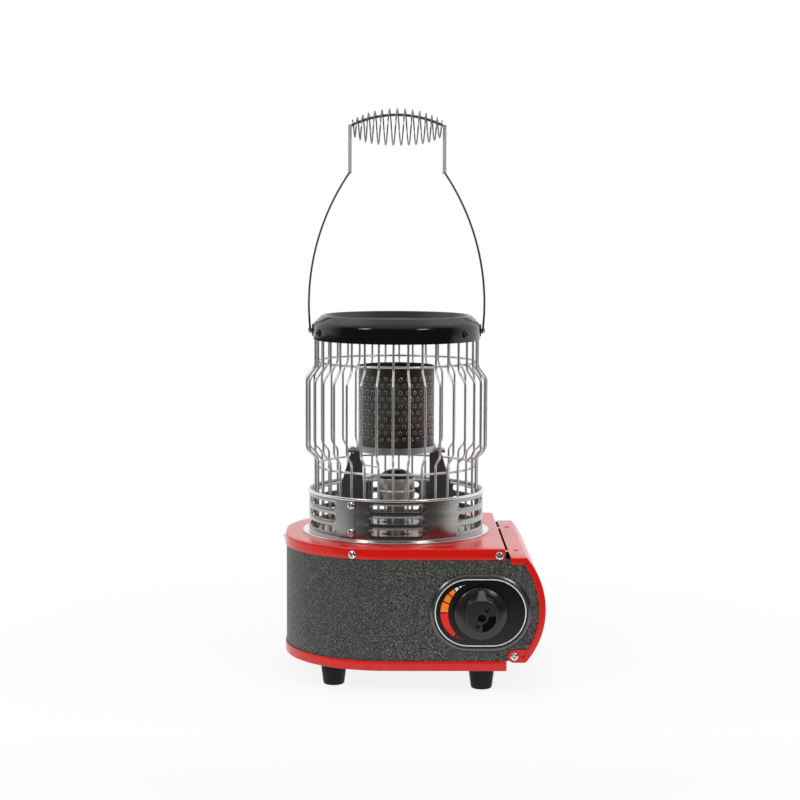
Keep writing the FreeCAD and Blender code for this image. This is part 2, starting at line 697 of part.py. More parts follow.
def knob_insert():
    """The metal sleeve pressed into the knob, with the spindle's bore."""
    return pipe(KNOB_BORE_R, SPINDLE_R, knob_axis(KNOB_BACK), knob_axis(KNOB_FACE + INSERT_SINK))


def valve_spindle():
    """The spindle that the knob turns: it reaches through the panel into the regulator."""
    return rod(SPINDLE_R, knob_axis(KNOB_FACE + SPINDLE_SINK), knob_axis(GAS_Y - PRESS_TRAVEL))


def thrust_collar():
    """The collar on the spindle behind the dial, which slides as the knob is pressed."""
    back = REGULATOR_FRONT + COLLAR_THICKNESS
    return pipe(COLLAR_R, SPINDLE_R + PIVOT_CLEARANCE, knob_axis(REGULATOR_FRONT), knob_axis(back))


def gas_regulator():
    """The regulator and valve block, bored for the spindle, with its outlet boss on the left."""
    body = rod(REGULATOR_R, knob_axis(REGULATOR_FRONT), knob_axis(REGULATOR_BACK))
    boss = rod(2 * PIPE_R, V(KNOB_X - ELBOW_REACH, GAS_Y, KNOB_HEIGHT), V(KNOB_X, GAS_Y, KNOB_HEIGHT))
    bore = rod(SPINDLE_R + PIVOT_CLEARANCE, knob_axis(REGULATOR_FRONT), knob_axis(GAS_Y + LIP_GAP))
    pocket = rod(COLLAR_R + LIP_GAP, knob_axis(REGULATOR_FRONT),
                 knob_axis(REGULATOR_FRONT + COLLAR_THICKNESS + PRESS_TRAVEL + LIP_GAP))
    gas_way = rod(PIPE_R, V(KNOB_X - ELBOW_REACH, GAS_Y, KNOB_HEIGHT),
                  V(KNOB_X - ELBOW_REACH + PIPE_SEAT, GAS_Y, KNOB_HEIGHT))
    return body.fuse(boss).cut(bore).cut(pocket).cut(gas_way)


def cartridge_seat():
    """The magnet ring on the regulator that the cartridge's collar meets, with its locating notch."""
    ring = pipe(SEAT_R, SEAT_BORE_R, knob_axis(REGULATOR_BACK), knob_axis(SEAT_BACK))
    half = NOTCH_WIDTH / 2
    notch = block(KNOB_X - half, KNOB_X + half, SEAT_BACK - NOTCH_DEPTH, SEAT_BACK, KNOB_HEIGHT,
                  KNOB_HEIGHT + SEAT_R)
    return ring.cut(notch)


def gas_pipe():
    """The thin pipe from the regulator's outlet, along the front, back to the jet."""
    start = V(KNOB_X - ELBOW_REACH + PIPE_SEAT, GAS_Y, KNOB_HEIGHT)
    route = [start, V(0, GAS_Y, KNOB_HEIGHT), V(0, JET_Y, KNOB_HEIGHT)]
    return swept_wire(route, PIPE_R, PIPE_BEND_R).cut(swept_wire(route, PIPE_R - PIPE_WALL, PIPE_BEND_R))


def gas_jet():
    """The brass jet in front of the mixing tube's mouth."""
    inlet = V(0, JET_Y, KNOB_HEIGHT)
    shoulder = inlet + Y * (JET_LENGTH - JET_NOSE)
    tip = inlet + Y * JET_LENGTH
    nose = Part.makeCone(JET_R, JET_R / 2, JET_NOSE, shoulder, Y)
    return rod(JET_R, inlet, shoulder).fuse(nose).cut(rod(JET_BORE_R, inlet, tip))


def jet_bracket():
    """The folded bracket that holds the jet and the mixing tube's mouth above the tray."""
    y0 = JET_Y + JET_LENGTH / 2
    y1 = MIXER_Y + FORK_SETBACK
    half = MIXER_R + FORK_CHEEK
    foot = block(-JET_R * 2, JET_R * 2, y0, y1, FLOOR_Z, FLOOR_Z + LEG_THICKNESS)
    plate = block(-JET_R * 2, JET_R * 2, y0, y0 + LEG_THICKNESS, FLOOR_Z, KNOB_HEIGHT + JET_R * 2)
    fork = block(-half, half, y1 - LEG_THICKNESS, y1, FLOOR_Z, KNOB_HEIGHT)
    jet = rod(JET_R, V(0, y0, KNOB_HEIGHT), V(0, y0 + LEG_THICKNESS, KNOB_HEIGHT))
    mixer = rod(MIXER_R, V(0, y1 - LEG_THICKNESS, KNOB_HEIGHT), V(0, y1, KNOB_HEIGHT))
    return foot.fuse([plate, fork]).cut(jet).cut(mixer)


def mixing_tube():
    """The tube where gas draws in air: level at first, then up to the burner."""
    route = [V(0, MIXER_Y, KNOB_HEIGHT), V(0, 0, KNOB_HEIGHT), V(0, 0, BURNER_Z)]
    return swept_wire(route, MIXER_R, MIXER_BEND_R).cut(
        swept_wire(route, MIXER_R - MIXER_WALL, MIXER_BEND_R))


# Burner and emitter
def burner_cup():
    """The round burner on the mixing tube, with a groove round its middle."""
    groove = BURNER_Z + GROOVE_RISE
    inner = BURNER_R - BURNER_WALL
    bore = MIXER_R - MIXER_WALL
    return turned([
        (bore, BURNER_Z), (BURNER_R - BURNER_EDGE, BURNER_Z), (BURNER_R, BURNER_Z + BURNER_EDGE),
        (BURNER_R, groove - GROOVE_DEPTH), (BURNER_R - GROOVE_DEPTH, groove),
        (BURNER_R, groove + GROOVE_DEPTH), (BURNER_R, DOME_Z), (inner, DOME_Z),
        (inner, BURNER_Z + BURNER_WALL * 2),
        (bore, BURNER_Z + BURNER_WALL)])


def burner_cap():
    """The dark domed cap on the burner's mouth, with a spigot that centres it."""
    lip = BURNER_R - BURNER_WALL
    outer = lip - PORT_GAP
    inner = outer - BURNER_WALL
    outside, inside = ([(lip * across, DOME_Z + DOME_RISE * up) for across, up in shares]
                       for shares in (DOME_OUTSIDE, DOME_INSIDE))
    return turned(outside + [
        (BURNER_R - PORT_GAP, DOME_Z), (outer, DOME_Z), (outer, DOME_Z - DOME_SPIGOT),
        (inner, DOME_Z - DOME_SPIGOT), (inner, DOME_Z)] + inside)


def burner_pan():
    """The bright pan under the burner: it closes the deck's hole and stands on the drip ring."""
    inner = MIXER_R + LIP_GAP
    outer = CAGE_R - 3 * WIRE_R
    pan = turned([(inner, DRIP_Z), (outer, DRIP_Z), (outer, PAN_Z), (inner, PAN_Z)])
    step = 360.0 / PAN_HOLES
    drills = [rod(PAN_HOLE_R, polar(PAN_HOLE_REACH, (index + 0.5) * step, DRIP_Z),
                  polar(PAN_HOLE_REACH, (index + 0.5) * step, PAN_Z)) for index in range(PAN_HOLES)]
    drills.append(rod(ELECTRODE_SLEEVE_R, electrode_place(-SHEET), electrode_place()))
    drills += [rod(SCREW_SHANK_R, V(side * LEG_BOLT_X, LEG_BOLT_Y, DRIP_Z),
                   V(side * LEG_BOLT_X, LEG_BOLT_Y, PAN_Z)) for side in (-1, 1)]
    return pan.cut(drills)


def emitter_cylinder():
    """The perforated drum that glows: rows of holes, each row half a step on."""
    drum = pipe(EMITTER_R, EMITTER_R - EMITTER_WALL, V(0, 0, EMITTER_Z), V(0, 0, EMITTER_TOP_Z))
    step = 360.0 / EMITTER_COLUMNS
    inside = EMITTER_R - 3 * EMITTER_WALL
    outside = EMITTER_R + 3 * EMITTER_WALL
    drills = []
    for row in range(EMITTER_ROWS):
        z = EMITTER_Z + EMITTER_FIRST_ROW + row * EMITTER_ROW_PITCH
        for column in range(EMITTER_COLUMNS):
            angle = (column + 0.5 * (row % 2)) * step
            drills.append(rod(EMITTER_HOLE_R, polar(inside, angle, z), polar(outside, angle, z)))
    return drum.cut(Part.makeCompound(drills))


def emitter_lid():
    """The sunk plate that closes the drum's top."""
    radius = EMITTER_R - EMITTER_WALL
    face = EMITTER_TOP_Z - LID_SINK
    edge = EMITTER_TOP_Z - LID_EDGE
    return turned([
        (0, face - SHEET), (radius, face - SHEET), (radius, edge), (radius - SHEET, edge),
        (radius - SHEET, face), (0, face)])


def emitter_base():
    """The dished ring under the drum, with an ear on each side for the legs."""
    bore = BURNER_R + BASE_PLATE_BORE_GAP
    floor = BASE_PLATE_Z + BASE_PLATE_THICKNESS
    seat = EMITTER_R - BASE_PLATE_THICKNESS
    rim = EMITTER_R + BASE_PLATE_RIM
    outside = EMITTER_R + PIVOT_CLEARANCE
    grip = EMITTER_Z + BASE_PLATE_GRIP
    ring = turned([
        (bore, BASE_PLATE_Z), (rim, BASE_PLATE_Z), (rim, grip), (outside, grip),
        (outside, EMITTER_Z), (seat, EMITTER_Z), (seat, floor), (bore, floor)])
    half = EAR_WIDTH / 2
    ear = block(EMITTER_R, EAR_REACH, -half, half, BASE_PLATE_Z, floor).cut(ear_hole())
    return ring.fuse([ear, mirrored_side(ear)]).removeSplitter()


def ear_hole():
    """The screw hole through an ear and the leg's flange below it."""
    return rod(SCREW_SHANK_R, V(EAR_SCREW_X, 0, BASE_PLATE_Z - BASE_PLATE_LIP), V(EAR_SCREW_X, 0, EMITTER_Z))


def bracket_leg():
    """One leg: a flat plate, wider at the foot, with a flange under the ear and one on the pan."""
    half = EAR_WIDTH / 2
    plate = extruded([
        V(LEG_INNER_X, half, PAN_Z), V(LEG_FOOT_X, half, PAN_Z), V(LEG_FOOT_X, half, PAN_Z + LEG_KNEE),
        V(LEG_TOP_X, half, BASE_PLATE_Z), V(LEG_INNER_X, half, BASE_PLATE_Z)], V(0, -LEG_THICKNESS, 0))
    top = block(LEG_INNER_X, EAR_REACH, -half, half, BASE_PLATE_Z - LEG_THICKNESS, BASE_PLATE_Z)
    base = block(LEG_INNER_X, LEG_FOOT_X, -half, half, PAN_Z, PAN_Z + LEG_THICKNESS)
    under = V(LEG_BOLT_X, LEG_BOLT_Y, PAN_Z)
    bolt = rod(SCREW_SHANK_R, under, under + Z * LEG_THICKNESS)
    return plate.fuse([top, base]).cut(ear_hole()).cut(bolt)


def bracket_legs():
    """The two legs that carry the emitter, left and right of the burner."""
    leg = bracket_leg()
    return [leg, mirrored_side(leg)]


def bracket_screws():
    """The screws through the ears and through the legs' feet."""
    ear = V(EAR_SCREW_X, 0, BASE_PLATE_Z + BASE_PLATE_THICKNESS)
    foot = V(LEG_BOLT_X, LEG_BOLT_Y, PAN_Z + LEG_THICKNESS)
    pair = [pan_screw(ear, Z, BASE_PLATE_LIP), pan_screw(foot, Z, LEG_THICKNESS + SHEET)]
    return pair + [mirrored_side(screw) for screw in pair]


# Ignition
def igniter_axis(x):
    """The point of the spark maker's axis at a place along the front panel."""
    return V(x, -BAY_FRONT + IGNITER_R, KNOB_HEIGHT + IGNITER_RISE)


def piezo_igniter():
    """The spark maker above the regulator's outlet, with its contact towards the burner."""
    right = KNOB_X - REGULATOR_R
    left = right - IGNITER_LENGTH
    contact = rod(IGNITER_R / 3, igniter_axis(left - IGNITER_TIP), igniter_axis(left))
    return rod(IGNITER_R, igniter_axis(left), igniter_axis(right)).fuse(contact)


def electrode_place(rise=0.0):
    """A point on the spark electrode's axis, behind the left leg, at a height above the pan."""
    return V(-LEG_INNER_X - ELECTRODE_SLEEVE_R, EAR_WIDTH / 2 + 2 * ELECTRODE_SLEEVE_R, PAN_Z + rise)


def electrode_bracket():
    """The folded bracket that holds the electrode's sleeve above the pan."""
    place = electrode_place()
    half = 2 * ELECTRODE_SLEEVE_R
    x0 = place.x - half
    x1 = place.x + half
    y0 = place.y - half
    y1 = place.y + half
    wall = BASE_PLATE_THICKNESS
    shelf_z = place.z + ELECTRODE_SHELF
    foot = block(x0, x1, y0, y1, place.z, place.z + wall)
    back = block(x0, x1, y1 - wall, y1, place.z, shelf_z)
    shelf = block(x0, x1, y0, y1, shelf_z - wall, shelf_z)
    way = rod(ELECTRODE_SLEEVE_R, place, electrode_place(ELECTRODE_SHELF))
    return foot.fuse([back, shelf]).cut(way)


def spark_electrode():
    """The white sleeve with its bare wire, bent over towards the burner's dome."""
    sleeve = rod(ELECTRODE_SLEEVE_R, electrode_place(ELECTRODE_SLEEVE_BOTTOM),
                 electrode_place(ELECTRODE_SLEEVE_TOP))
    root = electrode_place(ELECTRODE_SLEEVE_TOP - ELECTRODE_WIRE_R)
    bend = electrode_place(ELECTRODE_SLEEVE_TOP + ELECTRODE_WIRE_RISE)
    tip = V(-BURNER_R, EAR_WIDTH / 4, DOME_Z + DOME_RISE + SPARK_GAP)
    return sleeve.fuse(swept_wire([root, bend, tip], ELECTRODE_WIRE_R, ELECTRODE_WIRE_BEND))


def largest_arcs(points):
    """A wire of straight runs joined by the largest arcs that each pair of runs allows."""
    edges = []
    start = points[0]
    for before, corner, after in zip(points, points[1:], points[2:]):
        shorter = min((corner - before).Length, (after - corner).Length)
        back = (before - corner).normalize()
        ahead = (after - corner).normalize()
        reach = LEAD_ARC_SHARE * shorter
        turn = math.pi - back.getAngle(ahead)
        radius = reach / math.tan(turn / 2)
        middle = corner + (back + ahead).normalize() * (radius / math.cos(turn / 2) - radius)
        enter = corner + back * reach
        leave = corner + ahead * reach
        edges.append(Part.LineSegment(start, enter).toShape())
        edges.append(Part.Arc(enter, middle, leave).toShape())
        start = leave
    edges.append(Part.LineSegment(start, points[-1]).toShape())
    return Part.Wire(edges)


def ignition_wire():
    """The insulated lead from the spark maker through the partition and up to the electrode."""
    route = [igniter_axis(KNOB_X - REGULATOR_R - IGNITER_LENGTH - IGNITER_TIP)]
    for step in LEAD_STEPS:
        route.append(route[-1] + V(*step))
    foot = electrode_place()
    route.append(foot - V(0, LEAD_TURN[0], LEAD_TURN[1]))
    route.append(foot - V(0, LEAD_RISE[0], LEAD_RISE[1]))
    route.append(electrode_place(ELECTRODE_SLEEVE_BOTTOM))
    section = Part.Wire(Part.makeCircle(LEAD_R, route[0], route[1] - route[0]))
    return largest_arcs(route).makePipeShell([section], True, True)


# Drip ring, windshield and cage
def drip_ring():
    """The bright ring on the deck with its edge rolled up."""
    rim = DECK_Z + DRIP_RIM
    return turned([
        (DRIP_BORE_R, DECK_Z), (DRIP_R, DECK_Z), (DRIP_R, rim), (DRIP_R - DRIP_ROLL * 2 / 3, rim),
        (DRIP_R - DRIP_ROLL, DRIP_Z), (DRIP_BORE_R, DRIP_Z)])


def slotted_ring():
    """The windshield ring: a beaded top edge and six groups of three level slots."""
    top = DECK_Z + SHIELD_TOP
    inner = SHIELD_R - SHEET
    ring = turned([
        (inner, DRIP_Z), (SHIELD_R, DRIP_Z), (SHIELD_R, top - 2 * SHIELD_BEAD_R),
        (SHIELD_R + SHIELD_BEAD_R, top - SHIELD_BEAD_R), (SHIELD_R, top), (inner, top)])
    slots = []
    for height in SLOT_HEIGHTS:
        slot = windshield_slot(DECK_Z + height)
        slots += [spun(slot, 360.0 / SLOT_GROUPS * group) for group in range(SLOT_GROUPS)]
    for height in SEAM_SCREW_HEIGHTS:
        slots.append(rod(SCREW_SHANK_R, polar(inner - SHEET, SEAM_ANGLE, DECK_Z + height),
                         polar(SHIELD_R + SHEET, SEAM_ANGLE, DECK_Z + height)))
    return ring.cut(Part.makeCompound(slots))


def windshield_slot(z):
    """A round-ended slot cutter at the front of the ring."""
    half = (SLOT_SPAN - SLOT_WIDTH) / 2
    r = SLOT_WIDTH / 2
    y0 = -SHIELD_R - SLOT_WIDTH
    y1 = -math.sqrt(SHIELD_R ** 2 - (SLOT_SPAN / 2) ** 2) + SLOT_WIDTH
    core = block(-half, half, y0, y1, z - r, z + r)
    ends = [rod(r, V(s * half, y0, z), V(s * half, y1, z)) for s in (-1, 1)]
    return core.fuse(ends).removeSplitter()


def seam_screws():
    """The two screws that close the windshield's seam."""
    return [pan_screw(polar(SHIELD_R, SEAM_ANGLE, DECK_Z + height), outward(SEAM_ANGLE), SHIELD_GAP)
            for height in SEAM_SCREW_HEIGHTS]


def cage_bars():
    """The upright wires of the guard, bulged out between two necks."""
    bulge = CAGE_R + CAGE_BULGE
    route = [(CAGE_R, DRIP_Z), (CAGE_R, DECK_Z + BULGE_LOW_NECK), (bulge, DECK_Z + BULGE_LOW),
             (bulge, DECK_Z + BULGE_HIGH), (CAGE_R, DECK_Z + BULGE_HIGH_NECK), (CAGE_R, CAP_UNDER)]
    bar = swept_wire([V(0, -r, z) for r, z in route], WIRE_R, WIRE_BEND)
    return [spun(bar, BAR_PHASE + index * 360.0 / BAR_COUNT) for index in range(BAR_COUNT)]


def cage_rings():
    """The level wires welded inside the upright ones."""
    radius = CAGE_R - 2 * WIRE_R + WELD
    levels = [DECK_Z + height for height in CAGE_RING_HEIGHTS] + [SHOULDER_Z - TOP_RING_DROP]
    return [Part.makeTorus(radius, WIRE_R, V(0, 0, z)) for z in levels]


# Cap and bail handle
def top_cap():
    """The enamelled ring on top: skirt, sloping shoulder, rim, sunk shelf and an open middle."""
    w = CAP_WALL
    roll = CAP_RIM_ROLL
    lip = CAP_OPENING_R + w
    hem = SHELF_Z - CAP_HEM
    cap = turned([
        (CAP_R, CAP_BOTTOM_Z), (CAP_R, SHOULDER_Z - w), (CAP_R - w, SHOULDER_Z),
        (CAP_RIM_R + roll, CAP_TOP_Z - roll / 3), (CAP_RIM_R, CAP_TOP_Z),
        (CAP_RIM_R - roll, CAP_TOP_Z - roll / 3),
        (CAP_SHELF_R, SHELF_Z), (lip, SHELF_Z), (CAP_OPENING_R, SHELF_Z - w), (CAP_OPENING_R, hem),
        (lip, hem), (lip, SHELF_Z - w), (CAP_SHELF_R - w, SHELF_Z - w), (CAP_RIM_R, CAP_TOP_Z - CAP_CROWN),
        (CAGE_R - 2 * WIRE_R, CAP_UNDER), (CAP_R - w, CAP_UNDER), (CAP_R - w, CAP_BOTTOM_Z)])
    for angle in CAP_SCREW_ANGLES:
        cap = cap.cut(rod(SCREW_SHANK_R, polar(CAP_R - 2 * w, angle, CAP_SCREW_Z),
                          polar(CAP_R + w, angle, CAP_SCREW_Z)))
    pins = rod(BAIL_PIN_R + PIVOT_CLEARANCE, V(-CAP_R - w, 0, PIVOT_Z), V(CAP_R + w, 0, PIVOT_Z))
    return cap.cut(pins)


def cap_screws():
    """The dark screws that hold the cap's skirt to the cage."""
    return [pan_screw(polar(CAP_R, angle, CAP_SCREW_Z), outward(angle), CAP_WALL)
            for angle in CAP_SCREW_ANGLES]


def bail_ears():
    """The two plates on the cap's skirt that carry the bail's ends."""
    half = BAIL_EAR_WIDTH / 2
    low = PIVOT_Z - BAIL_EAR_HEIGHT / 2
    high = PIVOT_Z + BAIL_EAR_HEIGHT / 2
    ear = block(CAP_R - CAP_WALL, EAR_FACE, -half, half, low, high)
    ear = ear.cut(rod(CAP_R, V(0, 0, low), V(0, 0, high)))
    ear = ear.cut(rod(BAIL_PIN_R + PIVOT_CLEARANCE, V(0, 0, PIVOT_Z), V(EAR_FACE, 0, PIVOT_Z)))
    return [ear, mirrored_side(ear)]


def bail_leg():
    """The right leg: a flat strip on one long bow, rounded below the pivot, then a straight upright."""
    centre = V(BAIL_BOW_X - BAIL_BOW_R, 0, PIVOT_Z + BAIL_BOW_RISE)
    half = STRIP_WIDTH / 2
    bow = pipe(BAIL_BOW_R, BOW_INNER_R, centre - Y * half, centre + Y * half)
    shoulder = bail_shoulder()
    keep = block(0, BAIL_BOW_X, -half, half, PIVOT_Z, shoulder).fuse(
        rod(half, V(UPRIGHT_X, 0, PIVOT_Z), V(BAIL_BOW_X, 0, PIVOT_Z)))
    upright = block(UPRIGHT_X - UPRIGHT_THICKNESS / 2, UPRIGHT_X + UPRIGHT_THICKNESS / 2, -half, half,
                    shoulder, PIVOT_Z + UPRIGHT_RISE)
    pin = rod(BAIL_PIN_R, V(CAP_R - CAP_WALL - BAIL_PIN_R, 0, PIVOT_Z),
              V(STRIP_INNER + STRIP_THICKNESS / 2, 0, PIVOT_Z))
    return bow.common(keep).fuse([upright, pin])


def bail_shoulder():
    """The height where the bow's middle line reaches the upright."""
    middle = BAIL_BOW_R - STRIP_THICKNESS / 2
    inwards = UPRIGHT_X - (BAIL_BOW_X - BAIL_BOW_R)
    return PIVOT_Z + BAIL_BOW_RISE + math.sqrt(middle ** 2 - inwards ** 2)


def grip_height(x):
    """The height of the grip wire's middle line at a distance from the bail's middle."""
    top = PIVOT_Z + UPRIGHT_RISE - GRIP_WIRE_R
    radius = (UPRIGHT_X ** 2 + GRIP_CROWN ** 2) / (2 * GRIP_CROWN)
    return top + GRIP_CROWN - radius + math.sqrt(radius ** 2 - x ** 2)


def bail_handle():
    """The whole bail in one piece: two legs, uprights, hooked ends and the crowned grip wire."""
    leg = bail_leg()
    ends = [V(side * UPRIGHT_X, 0, grip_height(UPRIGHT_X)) for side in (-1, 1)]
    crown = V(0, 0, grip_height(0))
    arc = Part.Arc(ends[0], crown, ends[1])
    section = Part.Wire(Part.makeCircle(GRIP_WIRE_R, ends[0], arc.tangent(arc.FirstParameter)[0]))
    wire = Part.Wire(arc.toShape()).makePipeShell([section], True, True)
    return wire.fuse([leg, mirrored_side(leg)]).removeSplitter()


def coil_point(share):
    """A point of the grip coil's middle line; share runs from 0 at the left end to 1 at the right.

    The turns stand furthest apart at the middle.
    """
    reach = UPRIGHT_X - UPRIGHT_THICKNESS / 2 - COIL_WIRE_R
    spread = share - COIL_PITCH_SWING * math.sin(2 * math.pi * share) / (2 * math.pi)
    x = -reach + 2 * reach * spread
    swell = 1 - (2 * share - 1) ** 2
    radius = COIL_END_R + (COIL_MID_R - COIL_END_R) * swell
    lift = COIL_END_LIFT + (COIL_MID_LIFT - COIL_END_LIFT) * swell
    turn = 2 * math.pi * COIL_TURNS * share
    middle = grip_height(x) + lift - radius
    return V(x, radius * math.sin(turn), middle + radius * math.cos(turn))


def grip_coil():
    """The loose barrel coil that the grip wire runs through, made of half-turn arcs."""
    halves = COIL_TURNS * 2
    arcs = [Part.Arc(*[coil_point((index + step) / halves) for step in (0, 0.5, 1)])
            for index in range(halves)]
    way = arcs[0].tangent(arcs[0].FirstParameter)[0]
    section = Part.Wire(Part.makeCircle(COIL_WIRE_R, coil_point(0), way))
    return Part.Wire([arc.toShape() for arc in arcs]).makePipeShell([section], True, False)


def nodes():
    """Every node's name and its solid or solids."""
    return {
        "rubber_feet": rubber_feet(),
        "foot_screws": foot_screws(),
        "base_tray": base_tray(),
        "side_band": side_band(),
        "deck": deck(),
        "deck_screws": deck_screws(),
        "bay_partition": bay_partition(),
        "cartridge_cradle": cartridge_cradle(),
        "cartridge_cover": cartridge_cover(),
        "cover_rivets": cover_rivets(),
        "cover_catch": cover_catch(),
        "cover_pivot_screws": cover_pivot_screws(),
        "control_bezel": control_bezel(),
        "dial_plate": dial_plate(),
        "knob": knob(),
        "knob_insert": knob_insert(),
        "valve_spindle": valve_spindle(),
        "thrust_collar": thrust_collar(),
        "gas_regulator": gas_regulator(),
        "cartridge_seat": cartridge_seat(),
        "gas_pipe": gas_pipe(),
        "gas_jet": gas_jet(),
        "jet_bracket": jet_bracket(),
        "mixing_tube": mixing_tube(),
        "burner_pan": burner_pan(),
        "burner_cup": burner_cup(),
        "burner_cap": burner_cap(),
        "emitter_cylinder": emitter_cylinder(),
        "emitter_lid": emitter_lid(),
        "emitter_base": emitter_base(),
        "bracket_legs": bracket_legs(),
        "bracket_screws": bracket_screws(),
        "piezo_igniter": piezo_igniter(),
        "electrode_bracket": electrode_bracket(),
        "spark_electrode": spark_electrode(),
        "ignition_wire": ignition_wire(),
        "drip_ring": drip_ring(),
        "slotted_ring": slotted_ring(),
        "seam_screws": seam_screws(),
        "cage_bars": cage_bars(),
        "cage_rings": cage_rings(),
        "top_cap": top_cap(),
        "cap_screws": cap_screws(),
        "bail_ears": bail_ears(),
        "bail_handle": bail_handle(),
        "grip_coil": grip_coil(),
    }


def origin_shift():
    """The move that puts the origin under the middle of the whole heater's box."""
    left = LEFT - SCREW_HEAD_HEIGHT
    right = COVER_CENTRE_X + COVER_R
    front = KNOB_FACE
    back = FRONT + LIP_GAP + SCREW_HEAD_HEIGHT
    return V(-(left + right) / 2, -(front + back) / 2, 0)


def main():
    """Write one file per node."""
    os.makedirs("parts", exist_ok=True)
    move = origin_shift()
    for name, made in nodes().items():
        solids = made if isinstance(made, list) else [made]
        shape = Part.makeCompound([s for piece in solids for s in piece.Solids])
        shape.translate(move)
        shape.exportStep(f"parts/{name}.step")
        faults = [] if shape.isValid() else ["not valid"]
        print(name, len(shape.Solids), "solids", round(shape.Volume), "mm3", *faults)


main()
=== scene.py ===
# %% [markdown]
# # A portable gas heater, dressed in Blender
# The heater's solids are already made and packed, so this script only gives them their looks.
# It loads the solids, makes the finer skins that a camera sees, paints every piece and lights the scene.
# All lengths below are in millimetres from the burner's axis and the table, and `build` turns them into
# metres.

# %% Load the solids
import bpy
import bmesh
import json
import math
import numpy as np
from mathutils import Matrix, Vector


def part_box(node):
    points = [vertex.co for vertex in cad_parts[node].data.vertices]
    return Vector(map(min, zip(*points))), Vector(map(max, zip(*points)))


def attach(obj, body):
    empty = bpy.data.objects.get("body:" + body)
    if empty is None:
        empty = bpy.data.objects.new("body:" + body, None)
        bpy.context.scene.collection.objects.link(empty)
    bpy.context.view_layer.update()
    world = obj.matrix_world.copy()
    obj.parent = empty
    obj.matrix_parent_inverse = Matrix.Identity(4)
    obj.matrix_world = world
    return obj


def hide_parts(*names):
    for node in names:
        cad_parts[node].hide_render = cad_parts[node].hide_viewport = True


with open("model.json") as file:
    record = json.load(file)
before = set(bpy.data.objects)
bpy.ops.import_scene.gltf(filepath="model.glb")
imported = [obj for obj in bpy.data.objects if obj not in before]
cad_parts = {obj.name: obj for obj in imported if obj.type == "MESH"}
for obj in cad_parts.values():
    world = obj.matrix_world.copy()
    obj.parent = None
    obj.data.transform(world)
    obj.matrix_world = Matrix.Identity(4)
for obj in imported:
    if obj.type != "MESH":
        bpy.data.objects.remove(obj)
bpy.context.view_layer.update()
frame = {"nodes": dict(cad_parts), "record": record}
nodes = frame["nodes"]

# %% [markdown]
# ## The camera
# The photograph was taken from a little above the deck, almost straight on, with a long lens.
# A least squares fit of the heater's known circles and corners to the photograph gave the place, the
# slight turn, the tilt and the roll used here, so the frame and the perspective match.

# %% The camera
LENS = 87.97
EYE = (-0.03085, -1.8954, 0.4542)
HEADING, PITCH, ROLL = (math.radians(a) for a in (0.595, 5.63, 0.216))


def camera_axes():
    """The camera's right and up directions and its line of sight, from heading, pitch and roll."""
    sight = np.array([math.sin(HEADING) * math.cos(PITCH), math.cos(HEADING) * math.cos(PITCH),
                      -math.sin(PITCH)])
    level = np.array([math.cos(HEADING), -math.sin(HEADING), 0.0])
    up = np.cross(level, sight)
    right = math.cos(ROLL) * level + math.sin(ROLL) * up
    return right, -math.sin(ROLL) * level + math.cos(ROLL) * up, sight


scene = bpy.context.scene
lens = bpy.data.cameras.new("photo_camera")
lens.lens = LENS
camera = bpy.data.objects.new("photo_camera", lens)
scene.collection.objects.link(camera)
scene.camera = camera
right, up, sight = camera_axes()
turn = np.eye(4)
turn[:3, 0], turn[:3, 1], turn[:3, 2], turn[:3, 3] = right, up, -sight, EYE
camera.matrix_world = turn.T
print("camera at", EYE, "lens", LENS)

# %% [markdown]
# ## Floor, walls of light and lamps
# A studio shot of this kind has a white sweep behind the object, a darker room behind the camera and
# large soft lamps above. Bright metal shows all three, which is why the guard's wires look dark with
# light edges. The world is therefore white towards the back, dark in front, lighter overhead, and lights
# the object at a plain level. The floor is nearly white and still takes the object's soft shadow. The
# white sweep ends a little in front of the object and well to its left, where only the dark room lies,
# so upright gloss mirrors that room and stays deep.

# %% World and floor
scene.view_settings.view_transform = "Standard"
world = bpy.data.worlds.new("studio")
scene.world = world
world.use_nodes = True


class Value:
    """A socket of a node tree. Python's operators on it add Math nodes."""

    def __init__(self, tree, socket):
        self.tree, self.socket = tree, socket

    def _math(self, operation, *others):
        node = self.tree.nodes.new("ShaderNodeMath")
        node.operation = operation
        for slot, other in zip(node.inputs, others):
            plug(self.tree, slot, other)
        return Value(self.tree, node.outputs[0])

    def __add__(self, other): return self._math("ADD", self, other)
    def __radd__(self, other): return self._math("ADD", other, self)
    def __sub__(self, other): return self._math("SUBTRACT", self, other)
    def __rsub__(self, other): return self._math("SUBTRACT", other, self)
    def __mul__(self, other): return self._math("MULTIPLY", self, other)
    def __rmul__(self, other): return self._math("MULTIPLY", other, self)
    def at_least(self, other): return self._math("MAXIMUM", self, other)

    def ramp(self, low, high):
        """0 below low, 1 above high, and a smooth rise between them."""
        node = self.tree.nodes.new("ShaderNodeMapRange")
        node.interpolation_type = "SMOOTHSTEP"
        for slot, other in zip(node.inputs, (self, low, high, 0.0, 1.0)):
            plug(self.tree, slot, other)
        return Value(self.tree, node.outputs[0])


def plug(tree, slot, value):
    """Links a Value to an input, or sets the input to a plain number or tuple."""
    if isinstance(value, Value):
        tree.links.new(value.socket, slot)
    else:
        slot.default_value = value


def add_node(tree, kind, settings=None, **inputs):
    """A node of any type: its settings are set first, then its inputs, named with _ for a space."""
    node = tree.nodes.new(kind)
    for key, value in (settings or {}).items():
        setattr(node, key, value)
    for key, value in inputs.items():
        plug(tree, node.inputs[key.replace("_", " ")], value)
    return node


